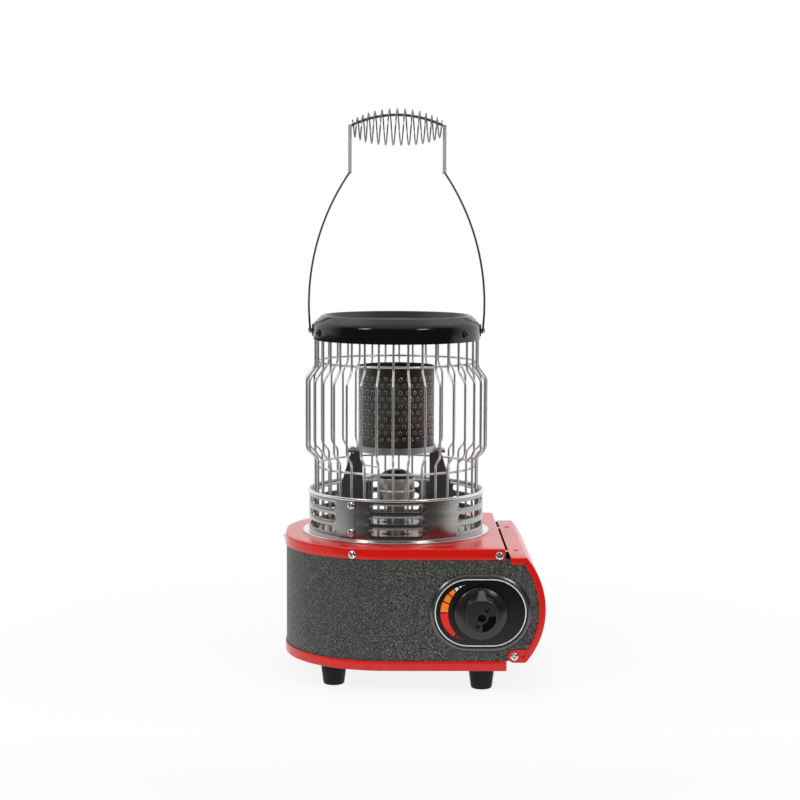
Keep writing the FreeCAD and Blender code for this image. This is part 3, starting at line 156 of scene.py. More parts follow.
def dress_world():
    """White for the camera and behind the object, dark behind the camera, even for soft light."""
    tree = world.node_tree
    tree.nodes.clear()
    place = add_node(tree, "ShaderNodeTexCoord")
    axes = add_node(tree, "ShaderNodeSeparateXYZ", Vector=Value(tree, place.outputs["Generated"]))
    depth = Value(tree, axes.outputs["Y"])
    height = Value(tree, axes.outputs["Z"])
    path = add_node(tree, "ShaderNodeLightPath")
    seen = Value(tree, path.outputs["Is Camera Ray"])
    mirrored = Value(tree, path.outputs["Is Glossy Ray"]).at_least(
        Value(tree, path.outputs["Is Transmission Ray"]))
    room = WORLD_FRONT + (1.0 - WORLD_FRONT) * depth.ramp(-0.25, 0.35)
    room = room + height.ramp(0.55, 0.9) * WORLD_TOP
    level = seen + (1.0 - seen) * (mirrored * room + (1.0 - mirrored) * WORLD_LEVEL)
    light = add_node(tree, "ShaderNodeBackground", Color=(1, 1, 1, 1), Strength=level)
    out = add_node(tree, "ShaderNodeOutputWorld")
    tree.links.new(light.outputs[0], out.inputs["Surface"])


WORLD_FRONT, WORLD_TOP, WORLD_LEVEL = 0.03, 0.75, 0.55
dress_world()


def make_floor():
    """A round white floor, lifted towards white for the camera, fully so away from the object."""
    turn = np.linspace(0, 2 * math.pi, 96, endpoint=False)
    rim = np.stack([FLOOR_R * np.cos(turn), FLOOR_R * np.sin(turn), np.zeros(96)], axis=1)
    mesh = bpy.data.meshes.new("floor")
    mesh.from_pydata(rim.tolist(), [], [list(range(96))])
    floor = bpy.data.objects.new("floor", mesh)
    scene.collection.objects.link(floor)
    material = bpy.data.materials.new("floor_white")
    material.use_nodes = True
    tree = material.node_tree
    paint = tree.nodes["Principled BSDF"]
    paint.inputs["Roughness"].default_value = 0.6
    paint.inputs["Specular IOR Level"].default_value = 0.0
    place = Value(tree, add_node(tree, "ShaderNodeTexCoord").outputs["Object"])
    axes = add_node(tree, "ShaderNodeSeparateXYZ", Vector=place)
    depth, across = Value(tree, axes.outputs["Y"]), Value(tree, axes.outputs["X"])
    span = add_node(tree, "ShaderNodeVectorMath", {"operation": "LENGTH"}, Vector=place)
    away = Value(tree, span.outputs["Value"]).ramp(0.25, 0.6)
    sweep_end = (1.0 - depth.ramp(-0.55, -0.22)).at_least(1.0 - across.ramp(-1.5, -0.8))
    shade = add_node(tree, "ShaderNodeMix", {"data_type": "RGBA"})
    plug(tree, shade.inputs[0], sweep_end)
    for slot, grey in ((shade.inputs[6], FLOOR_LIGHT), (shade.inputs[7], FLOOR_DARK)):
        slot.default_value = (grey, grey, grey, 1)
    tree.links.new(shade.outputs[2], paint.inputs["Base Color"])
    path = add_node(tree, "ShaderNodeLightPath")
    mirrored = Value(tree, path.outputs["Is Glossy Ray"]).at_least(
        Value(tree, path.outputs["Is Transmission Ray"]))
    seen = Value(tree, path.outputs["Is Camera Ray"]).at_least(mirrored * (1.0 - sweep_end))
    glow = add_node(tree, "ShaderNodeEmission", Color=(1, 1, 1, 1), Strength=1.0)
    mix = add_node(tree, "ShaderNodeMixShader", Fac=seen * (FLOOR_LIFT + (1.0 - FLOOR_LIFT) * away))
    tree.links.new(paint.outputs[0], mix.inputs[1])
    tree.links.new(glow.outputs[0], mix.inputs[2])
    tree.links.new(mix.outputs[0], tree.nodes["Material Output"].inputs["Surface"])
    mesh.materials.append(material)


FLOOR_R, FLOOR_LIFT, FLOOR_LIGHT, FLOOR_DARK = 4.0, 0.86, 0.86, 0.04
make_floor()
print("world and floor made")

# %% [markdown]
# ## Lamps
# Four soft lamps: one high on the left and one high on the right, whose shapes gloss shows as clean
# highlights, and a broad one in front and one overhead, which only add light. The world does the rest.

# %% Lamps


def soft_lamp(name, place, target, size, power, mirrored):
    """A rectangular soft lamp at place, facing target; mirrored says whether gloss shows it."""
    light = bpy.data.lights.new(name, "AREA")
    light.shape = "RECTANGLE"
    light.size, light.size_y = size
    light.energy = power
    lamp = bpy.data.objects.new(name, light)
    scene.collection.objects.link(lamp)
    lamp.location = place
    lamp.visible_glossy = mirrored
    way = Vector(target) - lamp.location
    lamp.rotation_euler = way.to_track_quat("-Z", "Y").to_euler()
    return lamp


LAMPS = {
    "lamp_left": ((-1.3, -1.2, 1.3), (0, 0, 0.2), (0.45, 0.45), 8.0, True),
    "lamp_right": ((0.93, -1.27, 1.14), (0.05, -0.1, 0.1), (0.42, 0.34), 6.0, True),
    "lamp_fill": ((-0.6, -1.6, 1.2), (0, 0, 0.2), (1.2, 0.8), 8.0, False),
    "lamp_top": ((0.1, 0.1, 1.7), (0, 0, 0.2), (1.0, 0.6), 8.0, False),
}
for name, facts in LAMPS.items():
    soft_lamp(name, *facts)
print("lamps:", len(LAMPS))

# %% [markdown]
# ## Mixing finishes
# Each finish is one Principled shader. Colour, roughness and the fine relief come from noise in object
# coordinates, whose unit is the metre, so a scale of 1000 gives grains of about a millimetre.
# `Finish` keeps the node tree of one material and has a short method for each pattern.

# %% The finish maker


class Finish:
    """One material in the making."""

    def __init__(self, name, metal=0.0, rough=0.5, **fixed):
        self.material = bpy.data.materials.new(name)
        self.material.use_nodes = True
        self.tree = self.material.node_tree
        self.shader = self.tree.nodes["Principled BSDF"]
        self.shader.inputs["Metallic"].default_value = metal
        self.shader.inputs["Roughness"].default_value = rough
        for key, value in fixed.items():
            self.shader.inputs[key.replace("_", " ")].default_value = value
        self.place = self.out(add_node(self.tree, "ShaderNodeTexCoord"), "Object")

    def out(self, node, name=0):
        return Value(self.tree, node.outputs[name])

    def add(self, kind, settings=None, **inputs):
        return add_node(self.tree, kind, settings, **inputs)

    def axis(self, name):
        """The object coordinate X, Y or Z, in metres."""
        return self.out(self.add("ShaderNodeSeparateXYZ", Vector=self.place), name)

    def stretched(self, scale, move=(0, 0, 0)):
        """Object coordinates times a scale on each axis."""
        return self.out(self.add("ShaderNodeMapping", Vector=self.place, Scale=scale, Location=move))

    def noise(self, scale, detail=2.0, rough=0.5, where=None, warp=0.0):
        """Cloudy noise from 0 to 1."""
        return self.out(self.add("ShaderNodeTexNoise", Vector=where or self.place, Scale=scale,
                                 Detail=detail, Roughness=rough, Distortion=warp), "Fac")

    def cells(self, scale, feature="F1", where=None):
        """The distance to the nearest of scattered points, in cells."""
        return self.out(self.add("ShaderNodeTexVoronoi", {"feature": feature}, Vector=where or self.place,
                                 Scale=scale), "Distance")

    def blend(self, amount, first, second):
        """first where amount is 0 and second where it is 1; each is a colour or a Value."""
        node = self.add("ShaderNodeMix", {"data_type": "RGBA"})
        plug(self.tree, node.inputs[0], amount)
        for slot, colour in ((node.inputs[6], first), (node.inputs[7], second)):
            plug(self.tree, slot, colour if isinstance(colour, Value) else (*colour, 1.0))
        return Value(self.tree, node.outputs[2])

    def colour(self, value):
        plug(self.tree, self.shader.inputs["Base Color"],
             value if isinstance(value, Value) else (*value, 1.0))
        return self

    def roughness(self, value):
        plug(self.tree, self.shader.inputs["Roughness"], value)
        return self

    def relief(self, height, depth, strength=1.0):
        """A Bump node: height from 0 to 1 times depth in metres."""
        bump = self.add("ShaderNodeBump", Strength=strength, Distance=depth, Height=height)
        self.tree.links.new(bump.outputs[0], self.shader.inputs["Normal"])
        return self


FINISHES = {}

# %% [markdown]
# ## Red enamel
# The deck, the floor tray and the cartridge cover are pressed steel with red powder enamel. It is glossy
# with a faint orange peel: waves two or three millimetres long and only hundredths of a millimetre deep.
# Below about 5 cm it turns patchily darker and duller.

# %% Red enamel


def red_enamel():
    """Two reds mixed by broad noise, orange peel relief, and darker, duller patches low on the base."""
    f = Finish("red_enamel", rough=0.2, Specular_IOR_Level=0.4, Coat_Weight=0.15, Coat_Roughness=0.06)
    tone = f.noise(35.0, 3.0)
    # Below about 5 cm the red is blended in noisy patches towards a darker, duller red.
    low_patches = (1.0 - f.axis("Z").ramp(0.02, 0.05)) * f.noise(90.0, 3.0).ramp(0.45, 0.75)
    red = f.blend(tone, (0.66, 0.010, 0.004), (0.56, 0.006, 0.003))
    f.colour(f.blend(low_patches * 0.4, red, (0.25, 0.02, 0.015)))
    f.roughness(0.16 + tone * 0.1 + low_patches * 0.2 + f.noise(900.0).ramp(0.62, 0.8) * 0.15)
    f.relief(f.noise(380.0, 1.0) + f.noise(1500.0) * 0.25, 0.00005)
    return f.material


FINISHES["red_enamel"] = red_enamel()

# %% [markdown]
# ## Hammered grey paint
# The wrapped side wears hammer paint: it draws itself into rounded cells of about a millimetre, with
# light metallic crests and dark joints. Voronoi cells make both the relief and the two greys.

# %% Hammered grey


def hammered_grey():
    """Cells about a millimetre across: smooth crests, dark joints and scattered bright flakes."""
    f = Finish("hammered_grey", metal=0.15, rough=0.42)
    where = f.stretched((1.0, 1.0, 1.15))
    cell = f.cells(1050.0, where=where)
    joint = cell.ramp(0.35, 0.75)
    flake = f.noise(1900.0, 2.0).ramp(0.57, 0.67)
    grey = f.blend(joint, (0.030, 0.031, 0.029), (0.003, 0.0032, 0.003))
    grey = f.blend(flake * 0.95, grey, (0.42, 0.42, 0.40))
    f.colour(grey)
    f.roughness(0.38 + joint * 0.22 - flake * 0.12)
    f.relief((1.0 - cell) + f.noise(600.0) * 0.4, 0.00024, 1.0)
    return f.material


FINISHES["hammered_grey"] = hammered_grey()

# %% [markdown]
# ## Black enamel, plastics and rubber
# The cap is stoved black enamel, very smooth. The dial, its frame and the knob are moulded gloss
# plastic with fine handling marks. The feet are matt rubber with a grained skin.

# %% Blacks


def black_finish(name, shade, rough, grain, depth, mirror=0.4, coat=0.0):
    """A black with dust specks, uneven gloss and a fine grain, in grains per metre."""
    f = Finish(name, rough=rough, Specular_IOR_Level=mirror, Coat_Weight=coat, Coat_Roughness=0.2)
    dust = f.noise(1400.0, 2.0).ramp(0.66, 0.8)
    cloud = f.noise(60.0, 3.0)
    base = f.blend(cloud, shade, tuple(1.7 * c for c in shade))
    f.colour(f.blend(dust * 0.15, base, (0.08, 0.08, 0.08)))
    f.roughness(rough + cloud * 0.08 + dust * 0.2)
    f.relief(f.noise(grain, 2.0), depth)
    return f.material


BLACKS = {
    "black_enamel": ((0.0035, 0.004, 0.0035), 0.09, 240.0, 0.00010),
    "black_plastic": ((0.004, 0.004, 0.004), 0.14, 900.0, 0.00002),
    "knob_plastic": ((0.010, 0.010, 0.010), 0.17, 700.0, 0.00003, 0.6),
    # A darker, duller black for the floors of the knob's bore and sunk quarter ring: painted shade.
    "knob_dark": ((0.002, 0.002, 0.002), 0.4, 700.0, 0.00003, 0.1),
    "frame_plastic": ((0.006, 0.006, 0.006), 0.24, 900.0, 0.00003, 1.0, 1.0),
    "black_rubber": ((0.004, 0.0035, 0.003), 0.55, 1600.0, 0.00008, 0.25),
    "black_screw": ((0.01, 0.01, 0.01), 0.25, 2000.0, 0.00003),
    "dark_cap": ((0.012, 0.010, 0.009), 0.4, 900.0, 0.0001),
    "lead_rubber": ((0.03, 0.028, 0.026), 0.45, 1500.0, 0.00004),
}
for name, facts in BLACKS.items():
    FINISHES[name] = black_finish(name, *facts)

# %% [markdown]
# ## Bright metals
# Stainless sheet, chromed wire and plated screws differ mostly in how sharply they mirror the studio.
# Rolling and turning leave fine lines, so the noise is squeezed across them, and fingerprints and
# stains make the gloss uneven.

# %% Metals


def metal_finish(name, light, dark, rough, lines=(1.0, 1.0, 1.0), line_scale=900.0, depth=0.00001,
                 stain=None, uneven=0.12, metal=1.0):
    """A metal between two tones, with drawn lines along the axes where lines is small.

    uneven is how much the gloss wanders, and metal says how much of the paintless steel shows.
    """
    f = Finish(name, metal=metal, rough=rough)
    line = f.noise(line_scale, 2.0, where=f.stretched(lines))
    cloud = f.noise(45.0, 3.0)
    tone = f.blend(line, light, dark)
    if stain:
        tone = f.blend(f.noise(70.0, 4.0).ramp(0.55, 0.8) * 0.5, tone, stain)
    f.colour(tone)
    f.roughness(rough + cloud * uneven + line * uneven * 0.5)
    f.relief(line, depth)
    return f.material


BRIGHT = {
    "screw_steel": dict(light=(0.82, 0.81, 0.79), dark=(0.62, 0.61, 0.59), rough=0.12, line_scale=2500.0),
    "bright_steel": dict(light=(0.46, 0.46, 0.45), dark=(0.32, 0.32, 0.315), rough=0.14,
                         lines=(0.04, 0.04, 1.0), line_scale=1400.0, stain=(0.42, 0.40, 0.37)),
    "wire_chrome": dict(light=(0.86, 0.86, 0.855), dark=(0.66, 0.66, 0.655), rough=0.26,
                        line_scale=1200.0, stain=(0.45, 0.40, 0.34)),
    "bail_steel": dict(light=(0.24, 0.24, 0.235), dark=(0.16, 0.16, 0.155), rough=0.22, line_scale=500.0),
    # The bail's uprights: a lighter, less metallic copy of the bail's steel, whose light grey is painted
    # reflection.
    "post_steel": dict(light=(0.52, 0.52, 0.51), dark=(0.40, 0.40, 0.39), rough=0.36, line_scale=500.0,
                       metal=0.35),
    # A lighter copy of the legs' bracket steel for the dished plate under the drum: painted highlight.
    "plate_steel": dict(light=(0.62, 0.61, 0.59), dark=(0.36, 0.35, 0.34), rough=0.3,
                        lines=(1.0, 1.0, 0.06), line_scale=1100.0, stain=(0.24, 0.17, 0.11)),
    "lip_steel": dict(light=(0.80, 0.80, 0.78), dark=(0.5, 0.5, 0.48), rough=0.2, line_scale=1500.0),
    "rim_steel": dict(light=(0.90, 0.90, 0.89), dark=(0.74, 0.74, 0.73), rough=0.16, line_scale=900.0),
    "bracket_steel": dict(light=(0.28, 0.28, 0.275), dark=(0.16, 0.16, 0.155), rough=0.32,
                          lines=(1.0, 1.0, 0.06), line_scale=1100.0, stain=(0.16, 0.11, 0.08)),
    "burner_steel": dict(light=(0.88, 0.86, 0.83), dark=(0.66, 0.64, 0.60), rough=0.24,
                         lines=(0.05, 0.05, 1.0), line_scale=1600.0, stain=(0.33, 0.20, 0.09)),
    "mixer_steel": dict(light=(0.50, 0.50, 0.49), dark=(0.33, 0.33, 0.32), rough=0.3,
                        stain=(0.28, 0.19, 0.11)),
    "pipe_metal": dict(light=(0.72, 0.72, 0.70), dark=(0.52, 0.52, 0.50), rough=0.25),
    "brass": dict(light=(0.78, 0.56, 0.25), dark=(0.60, 0.40, 0.15), rough=0.2, line_scale=1800.0,
                  stain=(0.32, 0.20, 0.08)),
    "die_cast": dict(light=(0.50, 0.50, 0.50), dark=(0.34, 0.34, 0.34), rough=0.45, line_scale=1500.0,
                     depth=0.00008),
    "magnet": dict(light=(0.10, 0.10, 0.105), dark=(0.05, 0.05, 0.052), rough=0.4, line_scale=1300.0,
                   depth=0.00005),
}
for name, facts in BRIGHT.items():
    FINISHES[name] = metal_finish(name, **facts)

# %% [markdown]
# ## Zinc, heated steel and ceramic
# Galvanised sheet shows crystals of several millimetres. The drum above the flame has been red hot, so
# its steel runs from grey green at the left into straw, brown and violet at the right and low down.
# The electrode's sleeve is white glazed ceramic.

# %% Zinc, heat and ceramic


def galvanised():
    """Zinc crystals: each Voronoi cell has its own grey."""
    f = Finish("galvanised", metal=1.0, rough=0.38)
    cell = f.add("ShaderNodeTexVoronoi", {"feature": "F1"}, Vector=f.place, Scale=140.0)
    shade = f.out(f.add("ShaderNodeRGBToBW", Color=f.out(cell, "Color")))
    f.colour(f.blend(shade, (0.46, 0.47, 0.48), (0.62, 0.63, 0.64)))
    f.roughness(0.3 + shade * 0.2)
    f.relief(f.out(cell, "Distance"), 0.00003)
    return f.material


def heat_steel():
    """Heat colours over a ramp that mixes the place from left to right, the height and noise."""
    f = Finish("heat_steel", metal=0.9, rough=0.36)
    across = f.axis("X").ramp(-0.050, 0.010)
    ends = (1.0 - f.axis("Z").ramp(0.222, 0.262)).at_least(f.axis("Z").ramp(0.278, 0.294) * 0.8)
    heat = across * 0.56 + ends * 0.36 + (f.noise(55.0, 4.0, warp=0.6) - 0.5) * 0.9
    ramp = f.add("ShaderNodeValToRGB", Fac=heat)
    stops = [(0.0, (0.14, 0.15, 0.135)), (0.3, (0.15, 0.155, 0.135)), (0.52, (0.11, 0.085, 0.06)),
             (0.72, (0.085, 0.045, 0.035)), (0.9, (0.08, 0.05, 0.055)), (1.0, (0.06, 0.05, 0.065))]
    band = ramp.color_ramp
    for place, colour in stops[1:-1]:
        band.elements.new(place)
    for element, (place, colour) in zip(band.elements, stops):
        element.position, element.color = place, (*colour, 1.0)
    spots = f.noise(900.0, 3.0).ramp(0.58, 0.75)
    f.colour(f.blend(spots * 0.35, f.out(ramp), (0.08, 0.07, 0.06)))
    f.roughness(0.3 + spots * 0.25 + across * 0.08)
    f.relief(f.noise(500.0, 3.0), 0.00004)
    return f.material


def ceramic():
    """White glaze with a few grey soot clouds."""
    f = Finish("ceramic", rough=0.15, Coat_Weight=0.5, Coat_Roughness=0.05)
    soot = f.noise(160.0, 3.0).ramp(0.55, 0.8)
    f.colour(f.blend(soot * 0.5, (0.80, 0.79, 0.76), (0.32, 0.29, 0.26)))
    f.roughness(0.15 + soot * 0.3)
    f.relief(f.noise(400.0), 0.00003)
    return f.material


for make in (galvanised, heat_steel, ceramic):
    FINISHES[make.__name__] = make()
print("finishes:", sorted(FINISHES))

# %% [markdown]
# ## Painting the solids
# The imported record says which finish each solid wears, so one loop gives every solid its material.
# A solid that is replaced further down keeps its paint too, though it no longer shows. The dished plate
# under the drum is of the legs' steel, but wears a lighter copy of that steel: painted highlight.

# %% Paint every solid
SLOT_OF = {entry["node"]: entry["material_slot"] for entry in frame["record"]["subparts"]}
for name, solid in nodes.items():
    solid.data.materials.clear()
    solid.data.materials.append(FINISHES[SLOT_OF[name]])
# The dished plate wears the lighter copy of its steel, a painted highlight.
nodes["emitter_base"].data.materials[0] = FINISHES["plate_steel"]
print("painted:", len(SLOT_OF))

# %% [markdown]
# ## Surfaces from numbers
# Every new skin is a grid of points: a profile turned about an axis, or a section carried along a path.
# A grid becomes quads between neighbouring rows and columns. Rows or columns may wrap round, and
# points that meet, such as those of a pole, are merged, so that the surface closes.

# %% Grids and meshes
LOW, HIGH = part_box("drip_ring")
AXIS = np.array([(LOW[0] + HIGH[0]) * 500, (LOW[1] + HIGH[1]) * 500, 0.0])
print("burner axis at", AXIS, "mm")


def patch(points, rows=False, columns=False, paint=0):
    """A grid of points (rows, columns, 3), with whether each direction wraps and which paint it has."""
    return np.asarray(points, float), rows, columns, paint


def quads_of(rows, columns, wrap_rows, wrap_columns):
    """The corner numbers of the quads between neighbouring rows i and columns j of a grid."""
    i = np.arange(rows if wrap_rows else rows - 1)[:, None]
    j = np.arange(columns if wrap_columns else columns - 1)[None, :]
    i2, j2 = (i + 1) % rows, (j + 1) % columns
    corners = [i * columns + j, i * columns + j2, i2 * columns + j2, i2 * columns + j]
    return np.stack(np.broadcast_arrays(*corners), axis=-1).reshape(-1, 4)


def build(name, parts, body, slot, *replaced, paints=None, sharp=40.0, toward=None):
    """Joins grids into one closed or open mesh piece, in place, and hangs it on its body."""
    points = np.concatenate([part[0].reshape(-1, 3) for part in parts])
    starts = np.cumsum([0] + [part[0].shape[0] * part[0].shape[1] for part in parts])
    quads = [quads_of(*part[0].shape[:2], part[1], part[2]) + start for part, start in zip(parts, starts)]
    paint = np.concatenate([np.full(len(q), part[3]) for q, part in zip(quads, parts)])
    mesh = bpy.data.meshes.new(name)
    mesh.from_pydata(((points + AXIS) / 1000.0).tolist(), [], np.concatenate(quads).tolist())
    mesh.polygons.foreach_set("material_index", paint.astype(np.int32))
    net = bmesh.new()
    net.from_mesh(mesh)
    bmesh.ops.remove_doubles(net, verts=net.verts, dist=2e-6)
    bmesh.ops.recalc_face_normals(net, faces=net.faces)
    if toward is not None and sum(f.calc_area() * f.normal.dot(toward) for f in net.faces) < 0:
        bmesh.ops.reverse_faces(net, faces=net.faces)
    net.to_mesh(mesh)
    net.free()
    mesh.shade_smooth()
    mesh.set_sharp_from_angle(angle=math.radians(sharp))
    for finish in paints or [slot]:
        mesh.materials.append(FINISHES[finish])
    piece = bpy.data.objects.new(name, mesh)
    scene.collection.objects.link(piece)
    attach(piece, body)
    if replaced:
        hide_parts(*replaced)
    print(name, len(mesh.polygons), "faces")
    return piece


def thicken(piece, thickness, edge=0.0):
    """Gives an open sheet its thickness in millimetres, inwards, and breaks its sharp edges."""
    wall = piece.modifiers.new("wall", "SOLIDIFY")
    wall.thickness, wall.offset = thickness / 1000, -1.0
    if edge:
        bevel = piece.modifiers.new("edge", "BEVEL")
        bevel.width, bevel.segments, bevel.limit_method = edge / 1000, 2, "ANGLE"
        bevel.angle_limit = math.radians(50)


def softened(corners, reach, steps=5, closed=False):
    """Each corner becomes a parabola: corner + (1-t)^2 reach back + t^2 reach ahead."""
    corners = np.asarray(corners, float)
    reach = np.broadcast_to(np.asarray(reach, float), len(corners))
    back, ahead = np.roll(corners, 1, 0) - corners, np.roll(corners, -1, 0) - corners
    back_long, ahead_long = np.linalg.norm(back, axis=1), np.linalg.norm(ahead, axis=1)
    reach = np.minimum(reach, 0.49 * np.minimum(back_long, ahead_long))
    t = np.linspace(0, 1, steps)[None, :, None]
    curve = (corners[:, None] + (1 - t) ** 2 * (reach / back_long)[:, None, None] * back[:, None]
             + t ** 2 * (reach / ahead_long)[:, None, None] * ahead[:, None])
    if closed:
        return curve.reshape(-1, corners.shape[1])
    inner = curve[1:-1].reshape(-1, corners.shape[1])
    return np.concatenate([corners[:1], inner, corners[-1:]])


def basis(way):
    """Two directions square to way and to each other."""
    way = np.asarray(way, float) / np.linalg.norm(way)
    side = np.cross(way, (0.0, 0.0, 1.0)) if abs(way[2]) < 0.9 else np.array((1.0, 0.0, 0.0))
    side = side / np.linalg.norm(side)
    return side, np.cross(way, side), way


def spin(profile, origin=(0, 0, 0), way=(0, 0, 1), count=96, wrap=False, paint=0):
    """A profile of (radius, height) turned about way: origin + r (cos a side + sin a other) + h way."""
    side, other, way = basis(way)
    profile = np.asarray(profile, float)
    a = np.linspace(0, 2 * math.pi, count, endpoint=False)[None, :, None]
    r, h = profile[:, 0][:, None, None], profile[:, 1][:, None, None]
    return patch(np.asarray(origin, float) + r * (np.cos(a) * side + np.sin(a) * other) + h * way,
                 rows=wrap, columns=True, paint=paint)


def sweep(path, section, across, closed=False, paint=0):
    """A closed section of (side, up) offsets carried along a path; side is square to across.

    An open path's ends are closed by a fan to the section's middle.
    """
    path = np.asarray(path, float)
    ahead = np.roll(path, -1, 0) - np.roll(path, 1, 0) if closed else np.gradient(path, axis=0)
    ahead /= np.linalg.norm(ahead, axis=1, keepdims=True)
    side = np.cross(ahead, np.asarray(across, float))
    side /= np.linalg.norm(side, axis=1, keepdims=True)
    up = np.cross(side, ahead)
    section = np.broadcast_to(section, (len(path), *np.shape(section)[-2:]))
    skin = path[:, None] + section[..., :1] * side[:, None] + section[..., 1:] * up[:, None]
    if not closed:
        ends = [np.broadcast_to(skin[k].mean(0), skin[k].shape)[None] for k in (0, -1)]
        skin = np.concatenate([ends[0], skin, ends[1]])
    return patch(skin, rows=closed, columns=True, paint=paint)


def circle(radius, count=10):
    """A closed round section."""
    a = np.linspace(0, 2 * math.pi, count, endpoint=False)
    return np.stack([radius * np.cos(a), radius * np.sin(a)], axis=-1)


def box_section(width, height, reach, steps=3):
    """A closed rectangular section with softened corners."""
    w, h = width / 2, height / 2
    return softened([(-w, -h), (w, -h), (w, h), (-w, h)], reach, steps, closed=True)


def turned_copies(part, angles):
    """Copies of a grid turned about the burner's axis, angles in degrees, anticlockwise from above."""
    points, rows, columns, paint = part
    copies = []
    for angle in np.radians(angles):
        c, s = math.cos(angle), math.sin(angle)
        copies.append(patch(points @ np.array([[c, s, 0], [-s, c, 0], [0, 0, 1.0]]), rows, columns, paint))
    return copies


def mirrored(part):
    """A grid's mirror image across the burner's middle plane."""
    return patch(part[0] * (-1, 1, 1), *part[1:])


def around(radius, angle, z):
    """Points round the burner: (r sin a, -r cos a, z), a in degrees from the front to the right."""
    a = np.radians(angle)
    return np.stack(np.broadcast_arrays(radius * np.sin(a), -radius * np.cos(a), z), -1)


# %% [markdown]
# ## Screws
# Every visible screw is a pan head with a cross recess. The head is a grid in polar coordinates whose
# columns follow the straight sides of the cross, so a few columns give it crisp walls: at radius r the
# side of an arm of half width w lies at the angle asin(w / r). The deck's lip has five: two of them sit
# where the round end has begun, so their place and their lean follow its arc.

# %% Pan head screws
HEAD_R, HEAD_H = 4.0, 2.2
CROSS_HALF, CROSS_ARM, CROSS_DEPTH, WALL = 0.46, 2.3, 1.35, 0.05


def pan_head(point, way, turn):
    """A domed head with a cross recess: h = H (0.35 + 0.65 sqrt(1 - (r/R)^3)), less the recess."""
    r = np.array([0.0, 0.38, 0.68, 1.0, 1.45, 1.9, 2.25, 2.32, 2.7, 3.1, 3.45, 3.72, 3.88, 3.97, 4.0])
    safe = np.maximum(r, CROSS_HALF)
    a = np.minimum(np.arcsin(np.minimum(CROSS_HALF / safe, 1.0)), math.pi / 4 * 0.98)
    gap = np.minimum(WALL / safe, (math.pi / 4 - a) * 0.6)
    quarter = np.stack([0 * a, a, a + gap, 0 * a + math.pi / 4, math.pi / 2 - a - gap, math.pi / 2 - a], 1)
    angle = np.concatenate([quarter + k * math.pi / 2 for k in range(4)], axis=1)
    within = np.tile([1, 1, 0, 0, 0, 1], 4)[None, :] * (r < CROSS_ARM)[:, None]
    within = np.where(r[:, None] < CROSS_HALF * 1.5, 1, within)
    h = HEAD_H * (0.35 + 0.65 * np.sqrt(np.clip(1 - (r / HEAD_R) ** 3, 0, 1)))[:, None]
    h = h - within * CROSS_DEPTH * (1 - 0.35 * (r / CROSS_ARM)[:, None] ** 2)
    r = np.concatenate([r, [HEAD_R, 0.0]])[:, None]
    angle = np.concatenate([angle, angle[-1:], angle[-1:]]) + math.radians(turn)
    h = np.concatenate([h, np.zeros((2, h.shape[1]))])
    side, other, way = basis(way)
    grid = r[..., None] * (np.cos(angle)[..., None] * side + np.sin(angle)[..., None] * other)
    return patch(np.asarray(point, float) + grid + h[..., None] * way, columns=True)


FRONT, LEFT, DECK_RIGHT, DECK_Z, TRAY_Z = 110.25, -108.0, 101.4, 138.0, 22.0
CORNER_R, SETBACK, SCREW_Z = 98.0, 10.0, DECK_Z - 6.4
SHIELD_R, CAP_R, HINGE = 85.3, 81.6, (110.2, 36.4)
seats = [((LEFT, 0, SCREW_Z), (-1, 0, 0))]
for x in (LEFT + 66.7, DECK_RIGHT - 5.7):
    lean = math.asin(max(-SETBACK - x, 0.0) / CORNER_R)
    reach = FRONT - CORNER_R * (1 - math.cos(lean))
    seats += [((x, side * reach, SCREW_Z), (-math.sin(lean), side * math.cos(lean), 0)) for side in (-1, 1)]
build("lip_screws", [pan_head(at, way, 25 + 40 * k) for k, (at, way) in enumerate(seats)],
      "root", "screw_steel", "deck_screws")
build("door_screws", [pan_head((HINGE[0], side * (FRONT + 0.3), HINGE[1]), (0, side, 0), 12)
                      for side in (-1, 1)], "root", "screw_steel", "cover_pivot_screws")
build("ring_screws", [pan_head(around(SHIELD_R + 0.55, -30, DECK_Z + z), around(1, -30, 0), 30 + z)
                      for z in (9.2, 35.0)], "root", "screw_steel", "seam_screws")
build("skirt_screws", [pan_head(around(CAP_R, a, 334.0), around(1, a, 0), a) for a in (53, 173, -67)],
      "root", "black_screw", "cap_screws")

# %% [markdown]
# ## The deck, the tray and the cover
# These are pressed sheets 0.8 mm thick with rolled bends. Each is one sheet carried along the base's
# outline, from its middle over the bend to the end of its lip, and Solidify gives it its thickness.

# %% The base's outline
SHEET, TRAY_RIGHT = 0.8, 103.2


def outline(right, closed):
    """The base from above, from the front right corner round the left: points and outward normals."""
    arc = np.radians(np.linspace(270, 180, 40))
    cy = FRONT - CORNER_R
    front_left = np.stack([-SETBACK + CORNER_R * np.cos(arc), -cy + CORNER_R * np.sin(arc)], 1)
    back_left = front_left[::-1] * (1, -1)
    bend = 2.0 if closed else 0.0
    run = np.linspace(right - bend, -SETBACK + 4, 14)
    front = np.stack([run, np.full(14, -FRONT)], 1)
    back = front[::-1] * (1, -1)
    path = [front, front_left, back_left, back]
    if closed:
        turn = np.radians(np.linspace(90, 0, 5)[1:-1])
        corner = np.stack([right - bend + bend * np.cos(turn), FRONT - bend + bend * np.sin(turn)], 1)
        edge = np.stack([np.full(14, right), np.linspace(FRONT - bend, -FRONT + bend, 14)], 1)
        path += [corner, edge, corner[::-1] * (1, -1)]
    path = np.concatenate(path)
    ahead = np.roll(path, -1, 0) - np.roll(path, 1, 0) if closed else np.gradient(path, axis=0)
    ahead /= np.linalg.norm(ahead, axis=1, keepdims=True)
    return path, np.stack([-ahead[:, 1], ahead[:, 0]], 1)


def at_height(flat, z):
    """Rows of points seen from above, or one row, put at a height."""
    flat = flat.reshape(-1, *flat.shape[-2:])
    return np.concatenate([flat, np.full((*flat.shape[:2], 1), z)], axis=-1)


